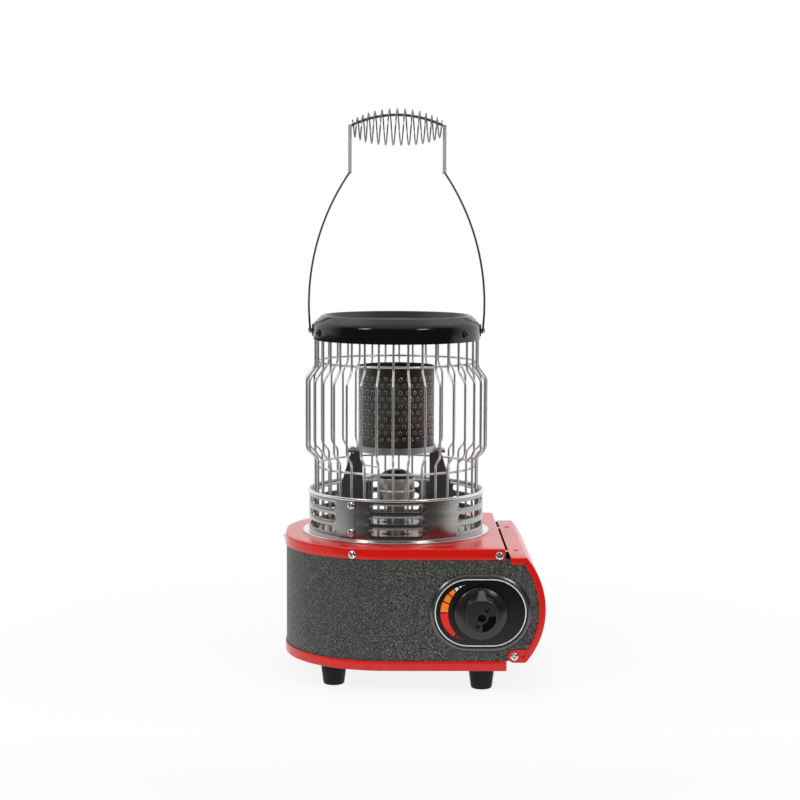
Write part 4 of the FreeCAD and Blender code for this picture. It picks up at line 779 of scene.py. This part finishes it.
def pressed_sheet(path, normal, middle, z, down, lip, bend=1.4):
    """Rows from the middle line to the outline's bend and along the lip; down is -1 or 1."""
    share = np.linspace(0, 1, 7)[:, None, None]
    flat = middle + share * (path - bend * normal - middle)
    rows = [at_height(flat, z)]
    for turn in np.radians([22.5, 45, 67.5, 90]):
        in_by, down_by = bend * (1 - math.sin(turn)), bend * (1 - math.cos(turn))
        rows.append(at_height(path - in_by * normal, z + down * down_by))
    rows += [at_height(path, z + down * reach) for reach in np.linspace(bend + 1.5, lip, 3)]
    return np.concatenate(rows)


path, normal = outline(DECK_RIGHT, True)
hole = 62.0 * path / np.linalg.norm(path, axis=1, keepdims=True)
deck = build("deck_sheet", [patch(pressed_sheet(path, normal, hole, DECK_Z, -1, 10.5), columns=True)],
             "root", "red_enamel", "deck", toward=(0, 0, 1))
thicken(deck, SHEET, 0.15)
path, normal = outline(TRAY_RIGHT, False)
middle = np.stack([np.clip(path[:, 0], -SETBACK, TRAY_RIGHT), 0 * path[:, 0]], 1)
tray = build("tray_sheet", [patch(pressed_sheet(path, normal, middle, TRAY_Z, 1, 9.5))],
             "root", "red_enamel", "base_tray", toward=(0, 0, -1))
thicken(tray, SHEET, 0.15)

# %% The cartridge cover
COVER_R, COVER_X, COVER_Z, COVER_TOP, COVER_LEFT = 77.0, 62.5, 80.0, 129.6, 106.3
TAB_R = 6.2


def cover_line():
    """The cover's end line: flat top, small bend, round outer side and a short turn-in below."""
    corner = COVER_X + math.sqrt(COVER_R ** 2 - (COVER_TOP - COVER_Z) ** 2)
    rise = math.asin((COVER_TOP - COVER_Z) / COVER_R)
    arc = np.linspace(rise, -rise, 60)[1:-1]
    side = np.stack([COVER_X + COVER_R * np.cos(arc), COVER_Z + COVER_R * np.sin(arc)], 1)
    low = 2 * COVER_Z - COVER_TOP
    line = np.concatenate([[(COVER_LEFT, COVER_TOP), (corner, COVER_TOP)], side,
                           [(corner, low), (HINGE[0] + TAB_R, low)]])
    reach = np.zeros(len(line))
    reach[[1, -2]] = 2.2
    return softened(line, reach, 5)


def line_normals(line):
    """Directions square to a line in its plane, on its right hand side."""
    ahead = np.gradient(line, axis=0)
    ahead /= np.linalg.norm(ahead, axis=1, keepdims=True)
    return np.stack([-ahead[:, 1], ahead[:, 0]], 1)


line = cover_line()
line = line[np.concatenate([[True], np.linalg.norm(np.diff(line, axis=0), axis=1) > 1e-6])]
outwards = line_normals(line)
ROUNDING = [(TAB_R, 0.0), (4.0, 0.0), (1.0, 0.0), (0.6, 0.1), (0.28, 0.3), (0.08, 0.62), (0.0, 1.0)]
span = np.linspace(-FRONT + 1.0, FRONT - 1.0, 9)[1:-1]
inset = np.array([c[0] for c in ROUNDING] + [0.0] * 7 + [c[0] for c in ROUNDING[::-1]])
depth = np.concatenate([[-FRONT + c[1] for c in ROUNDING], span, [FRONT - c[1] for c in ROUNDING[::-1]]])
skin = line[None] - outwards[None] * inset[:, None, None]
skin = np.stack([skin[..., 0], np.broadcast_to(depth[:, None], skin.shape[:2]), skin[..., 1]], -1)


def hinge_tab(side):
    """The round tab at the cover's foot: from the disc's left side to the cover's curve, row by row."""
    rise = TAB_R * np.sin(np.radians(np.linspace(-90, 90, 17)))
    left = HINGE[0] - np.sqrt(np.maximum(TAB_R ** 2 - rise ** 2, 0))
    right = COVER_X + np.sqrt(COVER_R ** 2 - (HINGE[1] + rise - COVER_Z) ** 2) - 0.9
    share = np.linspace(0, 1, 9)[None, :]
    x = left[:, None] + share * (np.minimum(right, 125.0) - left)[:, None]
    z = np.broadcast_to((HINGE[1] + rise)[:, None], x.shape)
    return patch(np.stack([x, np.full(x.shape, side * (FRONT - 0.05)), z], -1))


cover = build("cover_sheet", [patch(skin)], "cover", "red_enamel", "cartridge_cover", toward=(1, 0, 0))
thicken(cover, SHEET, 0.12)
for side, name in ((-1, "front"), (1, "back")):
    tab = build(f"cover_tab_{name}", [hinge_tab(side)], "cover", "red_enamel", toward=(0, side, 0))
    thicken(tab, SHEET, 0.12)
rivet_x = (COVER_LEFT + 121.4) / 2
build("cover_dimples", [spin(softened([(2.5, 0), (2.3, 0.5), (1.2, 0.8), (0, 0.8)], 0.5),
                             (rivet_x, side * (FRONT - 42.0), COVER_TOP), count=32) for side in (-1, 1)],
      "cover", "red_enamel", "cover_rivets")

# %% [markdown]
# ## Feet
# The feet are moulded rubber, wider at the top, with a soft bottom edge and the hole of their screw.

# %% Rubber feet
foot_line = [(0, 4.0), (3.6, 4.0), (3.6, 0.4), (4.4, 0.0), (8.8, 0.0), (10.0, 1.0), (12.4, 19.6),
             (12.7, TRAY_Z), (0, TRAY_Z)]
feet = [(LEFT + 48.5, FRONT - 43.25), (DECK_RIGHT - 20.4, FRONT - 27.25)]
build("feet_moulded", [spin(softened(foot_line, 0.8), (x, side * y, 0), count=56)
                       for x, y in feet for side in (-1, 1)], "root", "black_rubber", "rubber_feet")

# %% [markdown]
# ## Drip ring and windshield
# The windshield is a rolled stainless band with a beaded top edge and six groups of three punched slots.
# Its columns follow the slots' round ends, so no cutting tool is needed: where a slot is, no quads are.
# Its two ends lap at the front left, where two screws hold them.

# %% The windshield
SHIELD_TOP = DECK_Z + 42.2
SLOT_HALF, SLOT_END, PITCH = 21.97, 2.9, 2 * math.pi * SHIELD_R / 6


def shield_patch(s, z):
    """Points of the ring at arc length s and height z: the angle is s / R."""
    return around(SHIELD_R, np.degrees(s / SHIELD_R), z)


def shield_grids():
    """Solid bands between the slots all the way round, and lands between the slots' round ends."""
    run = np.concatenate([np.linspace(-SLOT_HALF, SLOT_HALF, 13)[:-1],
                          np.linspace(SLOT_HALF, PITCH - SLOT_HALF, 10)[:-1]])
    s = np.concatenate([run + group * PITCH for group in range(6)])[None, :]
    middles = [DECK_Z + h for h in (10.3, 21.7, 33.3)]
    edges = [DECK_Z + 0.8] + [m + d * SLOT_END for m in middles for d in (-1, 1)] + [SHIELD_TOP - 1.2]
    bands = [patch(shield_patch(s, np.linspace(low, high, 3)[:, None]), columns=True)
             for low, high in zip(edges[::2], edges[1::2])]
    turn = np.linspace(0, math.pi, 13)[:, None]
    share = np.linspace(0, 1, 10)[None, :]
    bulge = SLOT_END * np.sin(turn)
    land = SLOT_HALF + bulge + share * (PITCH - 2 * SLOT_HALF - 2 * bulge)
    lands = [patch(shield_patch(land + group * PITCH, m - SLOT_END * np.cos(turn)))
             for m in middles for group in range(6)]
    return bands + lands


shield = build("windshield", shield_grids(), "root", "bright_steel", "slotted_ring")
thicken(shield, SHEET, 0.2)


def ring_path(radius, z, count=144, start=0.0, span=360.0):
    """Points round the burner's axis at a radius and a height."""
    return around(radius, start + np.linspace(0, span, count, endpoint=span < 360), z)


bead = softened([(-1.1, -1.3), (1.1, -1.3), (1.35, 0.0), (0.9, 1.25), (-0.9, 1.25), (-1.1, 0.0)],
                0.6, 4, True)
BEAD_Z = SHIELD_TOP - 1.25
build("windshield_bead", [sweep(ring_path(SHIELD_R - 0.1, BEAD_Z), bead, (0, 0, 1), closed=True)],
      "root", "bright_steel", paints=["rim_steel"])


def lap_grid():
    """The end of the ring that lies over the other: a sheet that rises 0.55 mm from its left end."""
    angle = np.linspace(-42.2, -27.5, 18)
    lift = 0.02 + 0.53 * np.clip((angle + 42.2) / 4, 0, 1) ** 0.5
    outer, inner = SHIELD_R + lift, SHIELD_R - 0.3
    rows = np.array([around(radius, angle, z) for radius, z in (
        (inner, DECK_Z + 0.9), (outer, DECK_Z + 1.0), (outer, DECK_Z + 20), (outer, SHIELD_TOP - 2.4),
        (inner, SHIELD_TOP - 2.3))])
    end = around(inner, -27.45, rows[:, 0, 2])
    return patch(np.concatenate([rows, end[:, None]], axis=1))


build("windshield_lap", [lap_grid()], "root", "bright_steel", toward=tuple(around(1, -35, 0)))
build("lap_bead", [sweep(ring_path(SHIELD_R + 0.35, BEAD_Z, 16, -42.0, 14.4), bead, (0, 0, 1))],
      "root", "bright_steel", paints=["rim_steel"])
drip = [(56.0, DECK_Z), (91.3, DECK_Z), (91.3, 139.5), (90.9, 139.75), (90.2, 139.5), (89.5, 138.8),
        (56.0, 138.8)]
build("drip_plate", [spin(softened(drip, 0.25, 4, closed=True), count=160, wrap=True)],
      "root", "bright_steel", "drip_ring", paints=["rim_steel"])

# %% [markdown]
# ## The guard
# The guard is chromed wire: 36 upright wires that bulge out round the drum, spot welded to four level
# rings. Each wire is a round section along a bent path, and each weld is a small flattened bead.

# %% Guard wires
CAGE_R, WIRE_R, BULGE_R = 79.45, 1.15, 88.05
BAR_ANGLES = -2.5 + 10.0 * np.arange(36)
bar_line = [(CAGE_R, 139.0), (CAGE_R, 211.1), (BULGE_R, 218.9), (BULGE_R, 288.2), (CAGE_R, 299.9),
            (CAGE_R, 342.0)]
bar_path = softened([(0.0, -r, z) for r, z in bar_line], 3.2, 6)
bar = sweep(bar_path, circle(WIRE_R, 10), (1, 0, 0))
build("guard_bars", turned_copies(bar, BAR_ANGLES), "root", "wire_chrome", "cage_bars")
ring_r = CAGE_R - 2 * WIRE_R + 0.2
RING_HEIGHTS = (177.0, 202.7, 304.3, 332.5)
build("guard_rings", [sweep(ring_path(ring_r, z), circle(WIRE_R, 10), (0, 0, 1), closed=True)
                      for z in RING_HEIGHTS], "root", "wire_chrome", "cage_rings")
weld = spin([(0, -1.5), (0.7, -1.2), (1.05, 0), (0.7, 1.2), (0, 1.5)], (0, -CAGE_R + 1.05, 0), (1, 0, 0), 6)
welds = [patch(copy[0] + (0, 0, z), *copy[1:]) for z in RING_HEIGHTS[:3]
         for copy in turned_copies(weld, BAR_ANGLES)]
build("guard_welds", welds, "root", "wire_chrome", sharp=80.0)

# %% [markdown]
# ## Burner
# The burner is a turned cup with a groove and a dark cast dome with a short ring below its edge that sits in the
# cup.

# %% Burner cup and dome
cup = [(8.0, 169.0), (16.2, 169.0), (18.2, 171.0), (18.2, 178.0), (17.4, 178.8), (18.2, 179.6), (18.2, 190.1),
       (16.7, 190.1), (16.7, 172.0), (8.0, 170.5)]
build("burner_body", [spin(softened(cup, 0.3, 3, True), count=72, wrap=True)],
      "root", "burner_steel", "burner_cup")
dome = [(0, 198.1), (7.5, 197.6), (13.4, 194.6), (17.0, 191.4), (17.9, 190.4), (17.9, 190.15), (16.4, 190.1),
        (16.4, 187.6), (14.9, 187.6), (14.9, 190.1), (11.7, 193.3), (0, 196.1)]
build("burner_dome", [spin(softened(dome, 1.2, 5), count=72)], "root", "dark_cap", "burner_cap")

# %% [markdown]
# ## The drum's punched holes
# A blunt punch drags a small lip out of the sheet on the lower side of every hole, and these lips catch
# the light as bright specks. One flat ring of a few faces is laid round each hole of the drum, with its
# crest higher on the lower side. The drum itself keeps its solid.

# %% Punched lips
EMITTER_R, HOLE_R = 37.0, 1.3


def punched_lip(angle, z):
    """A ring round a hole: crest height 0.12 + 0.12 (1 - sin a), laid on the drum's curve."""
    a = np.linspace(0, 2 * math.pi, 10, endpoint=False)[None, :]
    reach = np.array([HOLE_R - 0.02, HOLE_R + 0.18, HOLE_R + 0.5])[:, None]
    crest = np.array([0.0, 1.0, -0.05])[:, None] * (0.12 + 0.12 * (1 - np.sin(a)))
    turn = angle + np.degrees(reach * np.cos(a) / EMITTER_R)
    return patch(around(EMITTER_R + crest, turn, z + reach * np.sin(a)), columns=True)


lips = [punched_lip((column + 0.5 * (row % 2)) * 11.25, 231.0 + 6.5 * row)
        for row in range(10) for column in range(32)]
build("punched_lips", lips, "root", "heat_steel", paints=["lip_steel"], sharp=80.0)

# %% [markdown]
# ## The cap
# The cap is a spun ring in stoved black enamel: an upright skirt, a soft shoulder, a rounded rim, a sunk
# shelf and a hemmed opening. One closed profile is turned about the burner's axis.

# %% Cap
cap = [(CAP_R, 326.1), (CAP_R, 340.6), (79.6, 343.6), (73.2, 349.5), (72.0, 350.0), (70.8, 349.6),
       (65.0, 342.0), (53.0, 342.0), (52.0, 341.0), (52.0, 338.0), (53.0, 338.0), (53.0, 341.0),
       (64.0, 341.0), (72.0, 348.3), (78.6, 342.4), (CAP_R - 1, 340.2), (CAP_R - 1, 326.1)]
soft = [0.4, 2.0, 2.0, 1.2, 0.8, 1.4, 2.2, 0.6, 0.6, 0.5, 0.3, 0.6, 1.5, 1.5, 1.5, 1.2, 0.4]
build("cap_enamelled", [spin(softened(cap, soft, 6, closed=True), count=192, wrap=True)],
      "root", "black_enamel", "top_cap")

# %% [markdown]
# ## Bail handle
# The bail is a flat spring strip on one long bow, with folded uprights, a crowned grip wire and a loose
# barrel coil round it that stays cool in the hand. All are sections carried along worked out curves.

# %% Bail
PIVOT_Z, BOW_R, BOW_RISE, BOW_X = 335.0, 227.0, 25.0, 86.51
UPRIGHT_X, UPRIGHT_RISE, GRIP_CROWN, TURNS = 45.8, 198.5, 11.0, 14
COIL_END_R, COIL_SWELL, COIL_END_LIFT, COIL_MID_LIFT, PITCH_SWING = 7.5, 10.1, 4.5, 6.0, 0.22
UPRIGHT_TOP = PIVOT_Z + UPRIGHT_RISE


def bow_path():
    """The strip's middle line: an arc from below the pivot, widest at BOW_X, up to the upright."""
    middle = BOW_R - 1.0
    low = -math.asin((BOW_RISE + 3.2) / middle)
    high = math.acos((UPRIGHT_X - (BOW_X - BOW_R)) / middle)
    a = np.linspace(low, high, 60)
    return np.stack([BOW_X - BOW_R + middle * np.cos(a), 0 * a, PIVOT_Z + BOW_RISE + middle * np.sin(a)], 1)


bow = bow_path()
rise = (bow[:, 2] - PIVOT_Z)
half = np.where(rise < 0, np.sqrt(np.maximum(3.5 ** 2 - np.minimum(rise, 0) ** 2, 0.4)), 3.5)
flat = box_section(2.0, 2.0, 0.5, 3)[None] * np.stack([np.ones(60), half], 1)[:, None]
strip = sweep(bow, flat, (0, 1, 0))
ridge = softened([(-1.7, -3.1), (0, -3.5), (1.7, -3.1), (1.7, 3.1), (0, 3.5), (-1.7, 3.1)], 0.35, 3, True)
post = sweep([(UPRIGHT_X, 0, z) for z in np.linspace(bow[-1, 2] - 1.5, UPRIGHT_TOP, 8)], ridge * (-1, 1),
             (0, 1, 0), paint=1)
rivet = spin(softened([(2.6, 0), (2.4, 0.6), (1.2, 0.9), (0, 0.9)], 0.4), (85.3, 0, PIVOT_Z), (1, 0, 0), 24)
pin = spin([(1.5, -3.5), (1.5, 1.0)], (84.0, 0, PIVOT_Z), (1, 0, 0), 16)


def grip_height(x):
    """The height of the grip wire's middle line at x: a shallow arc that rises by GRIP_CROWN."""
    radius = (UPRIGHT_X ** 2 + GRIP_CROWN ** 2) / (2 * GRIP_CROWN)
    return UPRIGHT_TOP - 1.4 + GRIP_CROWN - radius + np.sqrt(radius ** 2 - x ** 2)


x = np.linspace(-UPRIGHT_X, UPRIGHT_X, 50)
grip = sweep(np.stack([x, 0 * x, grip_height(x)], 1), circle(1.4, 12), (0, 1, 0))
halves = [strip, post, rivet, pin]
# The uprights (paint 1) wear the lighter copy of the bail's steel, a painted reflection.
build("bail_strip", halves + [mirrored(part) for part in halves] + [grip],
      "bail", "bail_steel", "bail_handle", paints=["bail_steel", "post_steel"])


def coil_path():
    """The barrel's wire: x = -L + 2 L (s - k sin(2 pi s) / 2 pi), and a radius that swells in the middle."""
    share = np.linspace(0, 1, TURNS * 22 + 1)
    swell = 1 - (2 * share - 1) ** 2
    reach = UPRIGHT_X - 1.7 - 0.7
    x = -reach + 2 * reach * (share - PITCH_SWING * np.sin(2 * math.pi * share) / (2 * math.pi))
    radius = COIL_END_R + COIL_SWELL * swell
    top = grip_height(x) + COIL_END_LIFT + (COIL_MID_LIFT - COIL_END_LIFT) * swell
    turn = 2 * math.pi * TURNS * share
    return np.stack([x, radius * np.sin(turn), top - radius + radius * np.cos(turn)], 1)


coil = coil_path()
build("grip_barrel", [sweep(coil, circle(0.7, 8), (1, 0, 0))], "bail", "bail_steel", "grip_coil")


def ear_plate():
    """A plate 10 by 12 mm with round corners against the cap's skirt, closed like a flat pillow."""
    edge = softened([(-5, -6), (5, -6), (5, 6), (-5, 6)], 3.0, 7, closed=True)
    rows = [np.stack([np.full(len(edge), x), edge[:, 0] * k, PIVOT_Z + edge[:, 1] * k], 1)
            for x, k in ((80.6, 0.0), (80.6, 1.0), (82.2, 1.0), (82.4, 0.96), (82.4, 0.0))]
    return patch(np.array(rows), columns=True)


build("ear_plates", [ear_plate(), mirrored(ear_plate())], "root", "black_enamel", "bail_ears")

# %% [markdown]
# ## Dial and knob
# The dial is a gloss black plate in a raised frame. Its scale is printed: white, orange and red bars
# that widen towards full heat, and a white line round the edge. The print is real geometry, a few
# hundredths of a millimetre proud, so it stays sharp at any distance. The frame is a bead whose outer
# side slopes back to the panel, where it catches the lamps.

# %% Dial
KNOB_X, KNOB_Z, PANEL_Y = 78.4, 77.7, -109.15
DIAL_W, DIAL_H, DIAL_Y = 86.7, 64.8, -110.35


def stadium(offset, count=40):
    """The dial's outline moved outwards by offset: half circles joined by straight runs."""
    radius = DIAL_H / 2 + offset
    half = (DIAL_W - DIAL_H) / 2
    a = np.radians(np.linspace(-90, 90, count))
    right = np.stack([half + radius * np.cos(a), radius * np.sin(a)], 1)
    left = -right
    run = np.linspace(half, -half, 10)[1:-1]
    top = np.stack([run, np.full(8, radius)], 1)
    return np.concatenate([right, top, left, -top])


def on_panel(flat, y):
    """Flat (x, z) points about the knob's axis, put at depth y."""
    flat = np.asarray(flat, float)
    return np.stack([KNOB_X + flat[..., 0], np.broadcast_to(y, flat.shape[:-1]), KNOB_Z + flat[..., 1]], -1)


def print_colour(name, colour):
    """Printing ink: slightly uneven, with pinholes."""
    f = Finish(name, rough=0.3)
    holes = f.noise(2200.0).ramp(0.66, 0.76)
    f.colour(f.blend(holes * 0.35, colour, tuple(c * 0.35 for c in colour)))
    f.roughness(0.28 + f.noise(300.0) * 0.12)
    f.relief(f.noise(1500.0), 0.00001)
    FINISHES[name] = f.material


print_colour("print_white", (0.82, 0.81, 0.78))
print_colour("print_orange", (1.0, 0.21, 0.008))
print_colour("print_red", (0.86, 0.010, 0.006))
# A dark red for the red scale's tail, where the knob's shadow falls on it: painted shadow.
print_colour("print_red_painted_shadow", (0.16, 0.008, 0.008))
PRINTS = ["black_plastic", "print_white", "print_orange", "print_red", "print_red_painted_shadow"]
SCALE_X, SCALE_R, KNOB_GAP_R = -10.95, 26.5, 30.4


def scale_bar(start, end, paint):
    """A bar between two angles, counted from the left towards the top.

    Its outer edge is a circle about the dial's left end, and its inner edge is where the same ray
    meets a circle about the knob: r = -d cos a + sqrt(K^2 - (d sin a)^2), with d the centres' distance.
    """
    a = np.radians(np.linspace(start, end, max(5, int(abs(end - start) / 2))))
    inner = SCALE_X * np.cos(a) + np.sqrt(KNOB_GAP_R ** 2 - (SCALE_X * np.sin(a)) ** 2)
    inner = np.minimum(inner, SCALE_R - 0.25)
    rows = [np.stack([SCALE_X - r * np.cos(a), r * np.sin(a)], 1) for r in (SCALE_R + 0 * a, inner)]
    return patch(on_panel(np.array(rows), DIAL_Y - 0.05), paint=paint)


def dial_parts():
    """The plate, the white line round it and the bars of the scale."""
    plate = [on_panel(stadium(offset), y) for offset, y in
             ((-0.05, PANEL_Y), (-0.05, DIAL_Y + 0.2), (-0.25, DIAL_Y))] + [on_panel(stadium(0) * 0, DIAL_Y)]
    line = [on_panel(stadium(-1.45), DIAL_Y - 0.05), on_panel(stadium(-0.4), DIAL_Y - 0.05)]
    # The first bar, from -79 to -62 degrees, is that tail, in the dark red of painted shadow.
    bars = [(-79, -62, 4), (-58, -1.5, 3), (1.5, 23, 2), (25.8, 42, 2), (44.8, 57, 2), (59.5, 67, 1),
            (70, 75, 1), (78, 81, 1)]
    return ([patch(np.array(plate), columns=True), patch(np.array(line), columns=True, paint=1)]
            + [scale_bar(*bar) for bar in bars])


build("dial_printed", dial_parts(), "root", "black_plastic", "dial_plate", paints=PRINTS, toward=(0, -1, 0))

loop = on_panel(stadium(1.65, 48), 0.0)
bezel = softened([(-1.25, 0.1), (-1.25, -1.8), (-0.8, -2.95), (0.1, -2.95), (2.3, -1.65), (2.3, 0.1)],
                 0.5, 5, True)
ahead = np.roll(loop, -1, 0) - np.roll(loop, 1, 0)
ahead /= np.linalg.norm(ahead, axis=1, keepdims=True)
out = np.cross(ahead, (0, 1.0, 0))
if (out[0] * (loop[0] - on_panel(np.zeros(2), 0.0))).sum() < 0:
    out = -out
frame_grid = loop[:, None] + out[:, None] * bezel[None, :, :1] + np.array([0, 1.0, 0]) * bezel[None, :, 1:]
build("dial_frame", [patch(frame_grid + (0, PANEL_Y, 0), rows=True, columns=True)],
      "root", "black_plastic", "control_bezel", paints=["frame_plastic"])

# %% [markdown]
# ## The knob
# The knob has a coned skirt, a round hub with a finger rib that runs up to the pointer, a bore, two small
# eyes and a quarter ring sunk beside the bore. The hub's outline is drawn once and carried forward with a
# slight draft, and its front face is a fine polar grid whose depth follows soft masks for the recesses.

# %% Knob
KNOB_BACK, KNOB_DEPTH, HUB_R, BORE_R, SUNK = -113.75, 20.0, 16.2, 3.9, 4.5


def hub_outline(count=144):
    """The hub from the front: a circle below, shoulders, and a rib 9 mm wide up to the pointer."""
    a = np.radians(np.linspace(160, 20, 22) + 180)
    low = np.stack([-HUB_R * np.cos(a - math.pi), HUB_R * np.sin(a)], 1)
    shoulder = np.array([(2.4, 25.4), (4.6, 18.2), (12.2, 14.6), (HUB_R, 7.5)])
    corners = np.concatenate([shoulder, low[np.argsort(-low[:, 0])], shoulder[::-1] * (-1, 1)])
    reach = np.full(len(corners), 1.0)
    reach[:4], reach[-4:] = (1.2, 3.0, 3.6, 3.0), (3.0, 3.6, 3.0, 1.2)
    ring = softened(corners, reach, 6, closed=True)
    length = np.concatenate([[0], np.cumsum(np.linalg.norm(np.diff(ring, axis=0, append=ring[:1]), axis=1))])
    at = np.linspace(0, length[-1], count, endpoint=False)
    ring = np.concatenate([ring, ring[:1]])
    return np.stack([np.interp(at, length, ring[:, k]) for k in (0, 1)], 1)


def hub_depth(z):
    """How far forward the body stands at a height: full over the hub, sloping to the skirt above."""
    return 4.0 + (KNOB_DEPTH - 4.0) * np.clip((25.9 - z) / 10.4, 0, 1) ** 0.9


def face_sink(x, z):
    """How deep the front face is sunk at (x, z): two eyes and a quarter ring."""
    sink = 3.2 * smooth(1.9 - np.hypot(x - 4.9, z - 7.0), 0.5)
    sink = np.maximum(sink, 3.2 * smooth(1.9 - np.hypot(x + 3.6, z + 7.7), 0.5))
    r, a = np.hypot(x, z), np.degrees(np.arctan2(x, -z))
    quarter = smooth(r - 6.2, 0.5) * smooth(13.4 - r, 0.5) * smooth(a - 4, 5) * smooth(98 - a, 5)
    return np.maximum(sink, SUNK * quarter)


def smooth(value, width):
    """0 below 0, 1 above width, and a smooth rise between."""
    t = np.clip(value / width, 0, 1)
    return t * t * (3 - 2 * t)


def hub_grid():
    """Rows up the side with a draft and a rounded edge, then in over the face to the bore's mouth."""
    ring = hub_outline()
    inward = ring / np.linalg.norm(ring, axis=1, keepdims=True)
    rows = []
    for shrink, share in ((0.0, 0.0), (0.5, 0.5), (0.9, 0.88), (1.1, 0.94), (1.5, 0.98), (2.1, 1.0)):
        flat = ring - shrink * inward
        rows.append(on_panel(flat, KNOB_BACK - hub_depth(flat[:, 1]) * share))
    edge = ring - 2.1 * inward
    bore = 4.3 * inward
    for share in np.linspace(0, 1, 30)[1:]:
        flat = edge + share * (bore - edge)
        rows.append(on_panel(flat, KNOB_BACK - hub_depth(flat[:, 1]) + face_sink(flat[:, 0], flat[:, 1])))
    rows.append(on_panel(BORE_R * inward, KNOB_BACK - KNOB_DEPTH + 0.3))
    return patch(np.array(rows), columns=True)


skirt = [(0, 0.0), (23.8, 0.0), (24.6, 0.6), (24.6, 1.5), (23.9, 2.2), (19.9, 3.9), (17.0, 4.3), (0, 4.3)]
centre = (KNOB_X, KNOB_BACK, KNOB_Z)
knob_parts = [spin(softened(skirt, 0.5, 4), centre, (0, -1, 0), 128), hub_grid()]
nib = spin(softened([(0, 0), (1.6, 0), (0.9, 2.6), (0, 3.0)], 0.3), (KNOB_X, KNOB_BACK - 0.9, KNOB_Z - 23.2),
           (0, 0, -1), 16)
# The bore and the sunk quarter ring (paint 1) are floored with a darker, duller black: painted shade.
bore = spin([(BORE_R, 19.7), (3.7, 19.2), (3.7, 16.3), (1.2, 16.15), (0, 16.15)], centre, (0, -1, 0), 144,
            paint=1)
a = np.radians(np.linspace(9, 93, 24))[None, :]
r = np.linspace(6.75, 12.85, 4)[:, None]
sunk = patch(on_panel(np.stack([r * np.sin(a), -r * np.cos(a)], -1), KNOB_BACK - KNOB_DEPTH + SUNK - 0.1), paint=1)
build("knob_moulded", knob_parts + [nib, bore, sunk], "knob", "knob_plastic", "knob",
      paints=["knob_plastic", "knob_dark"], sharp=50.0)
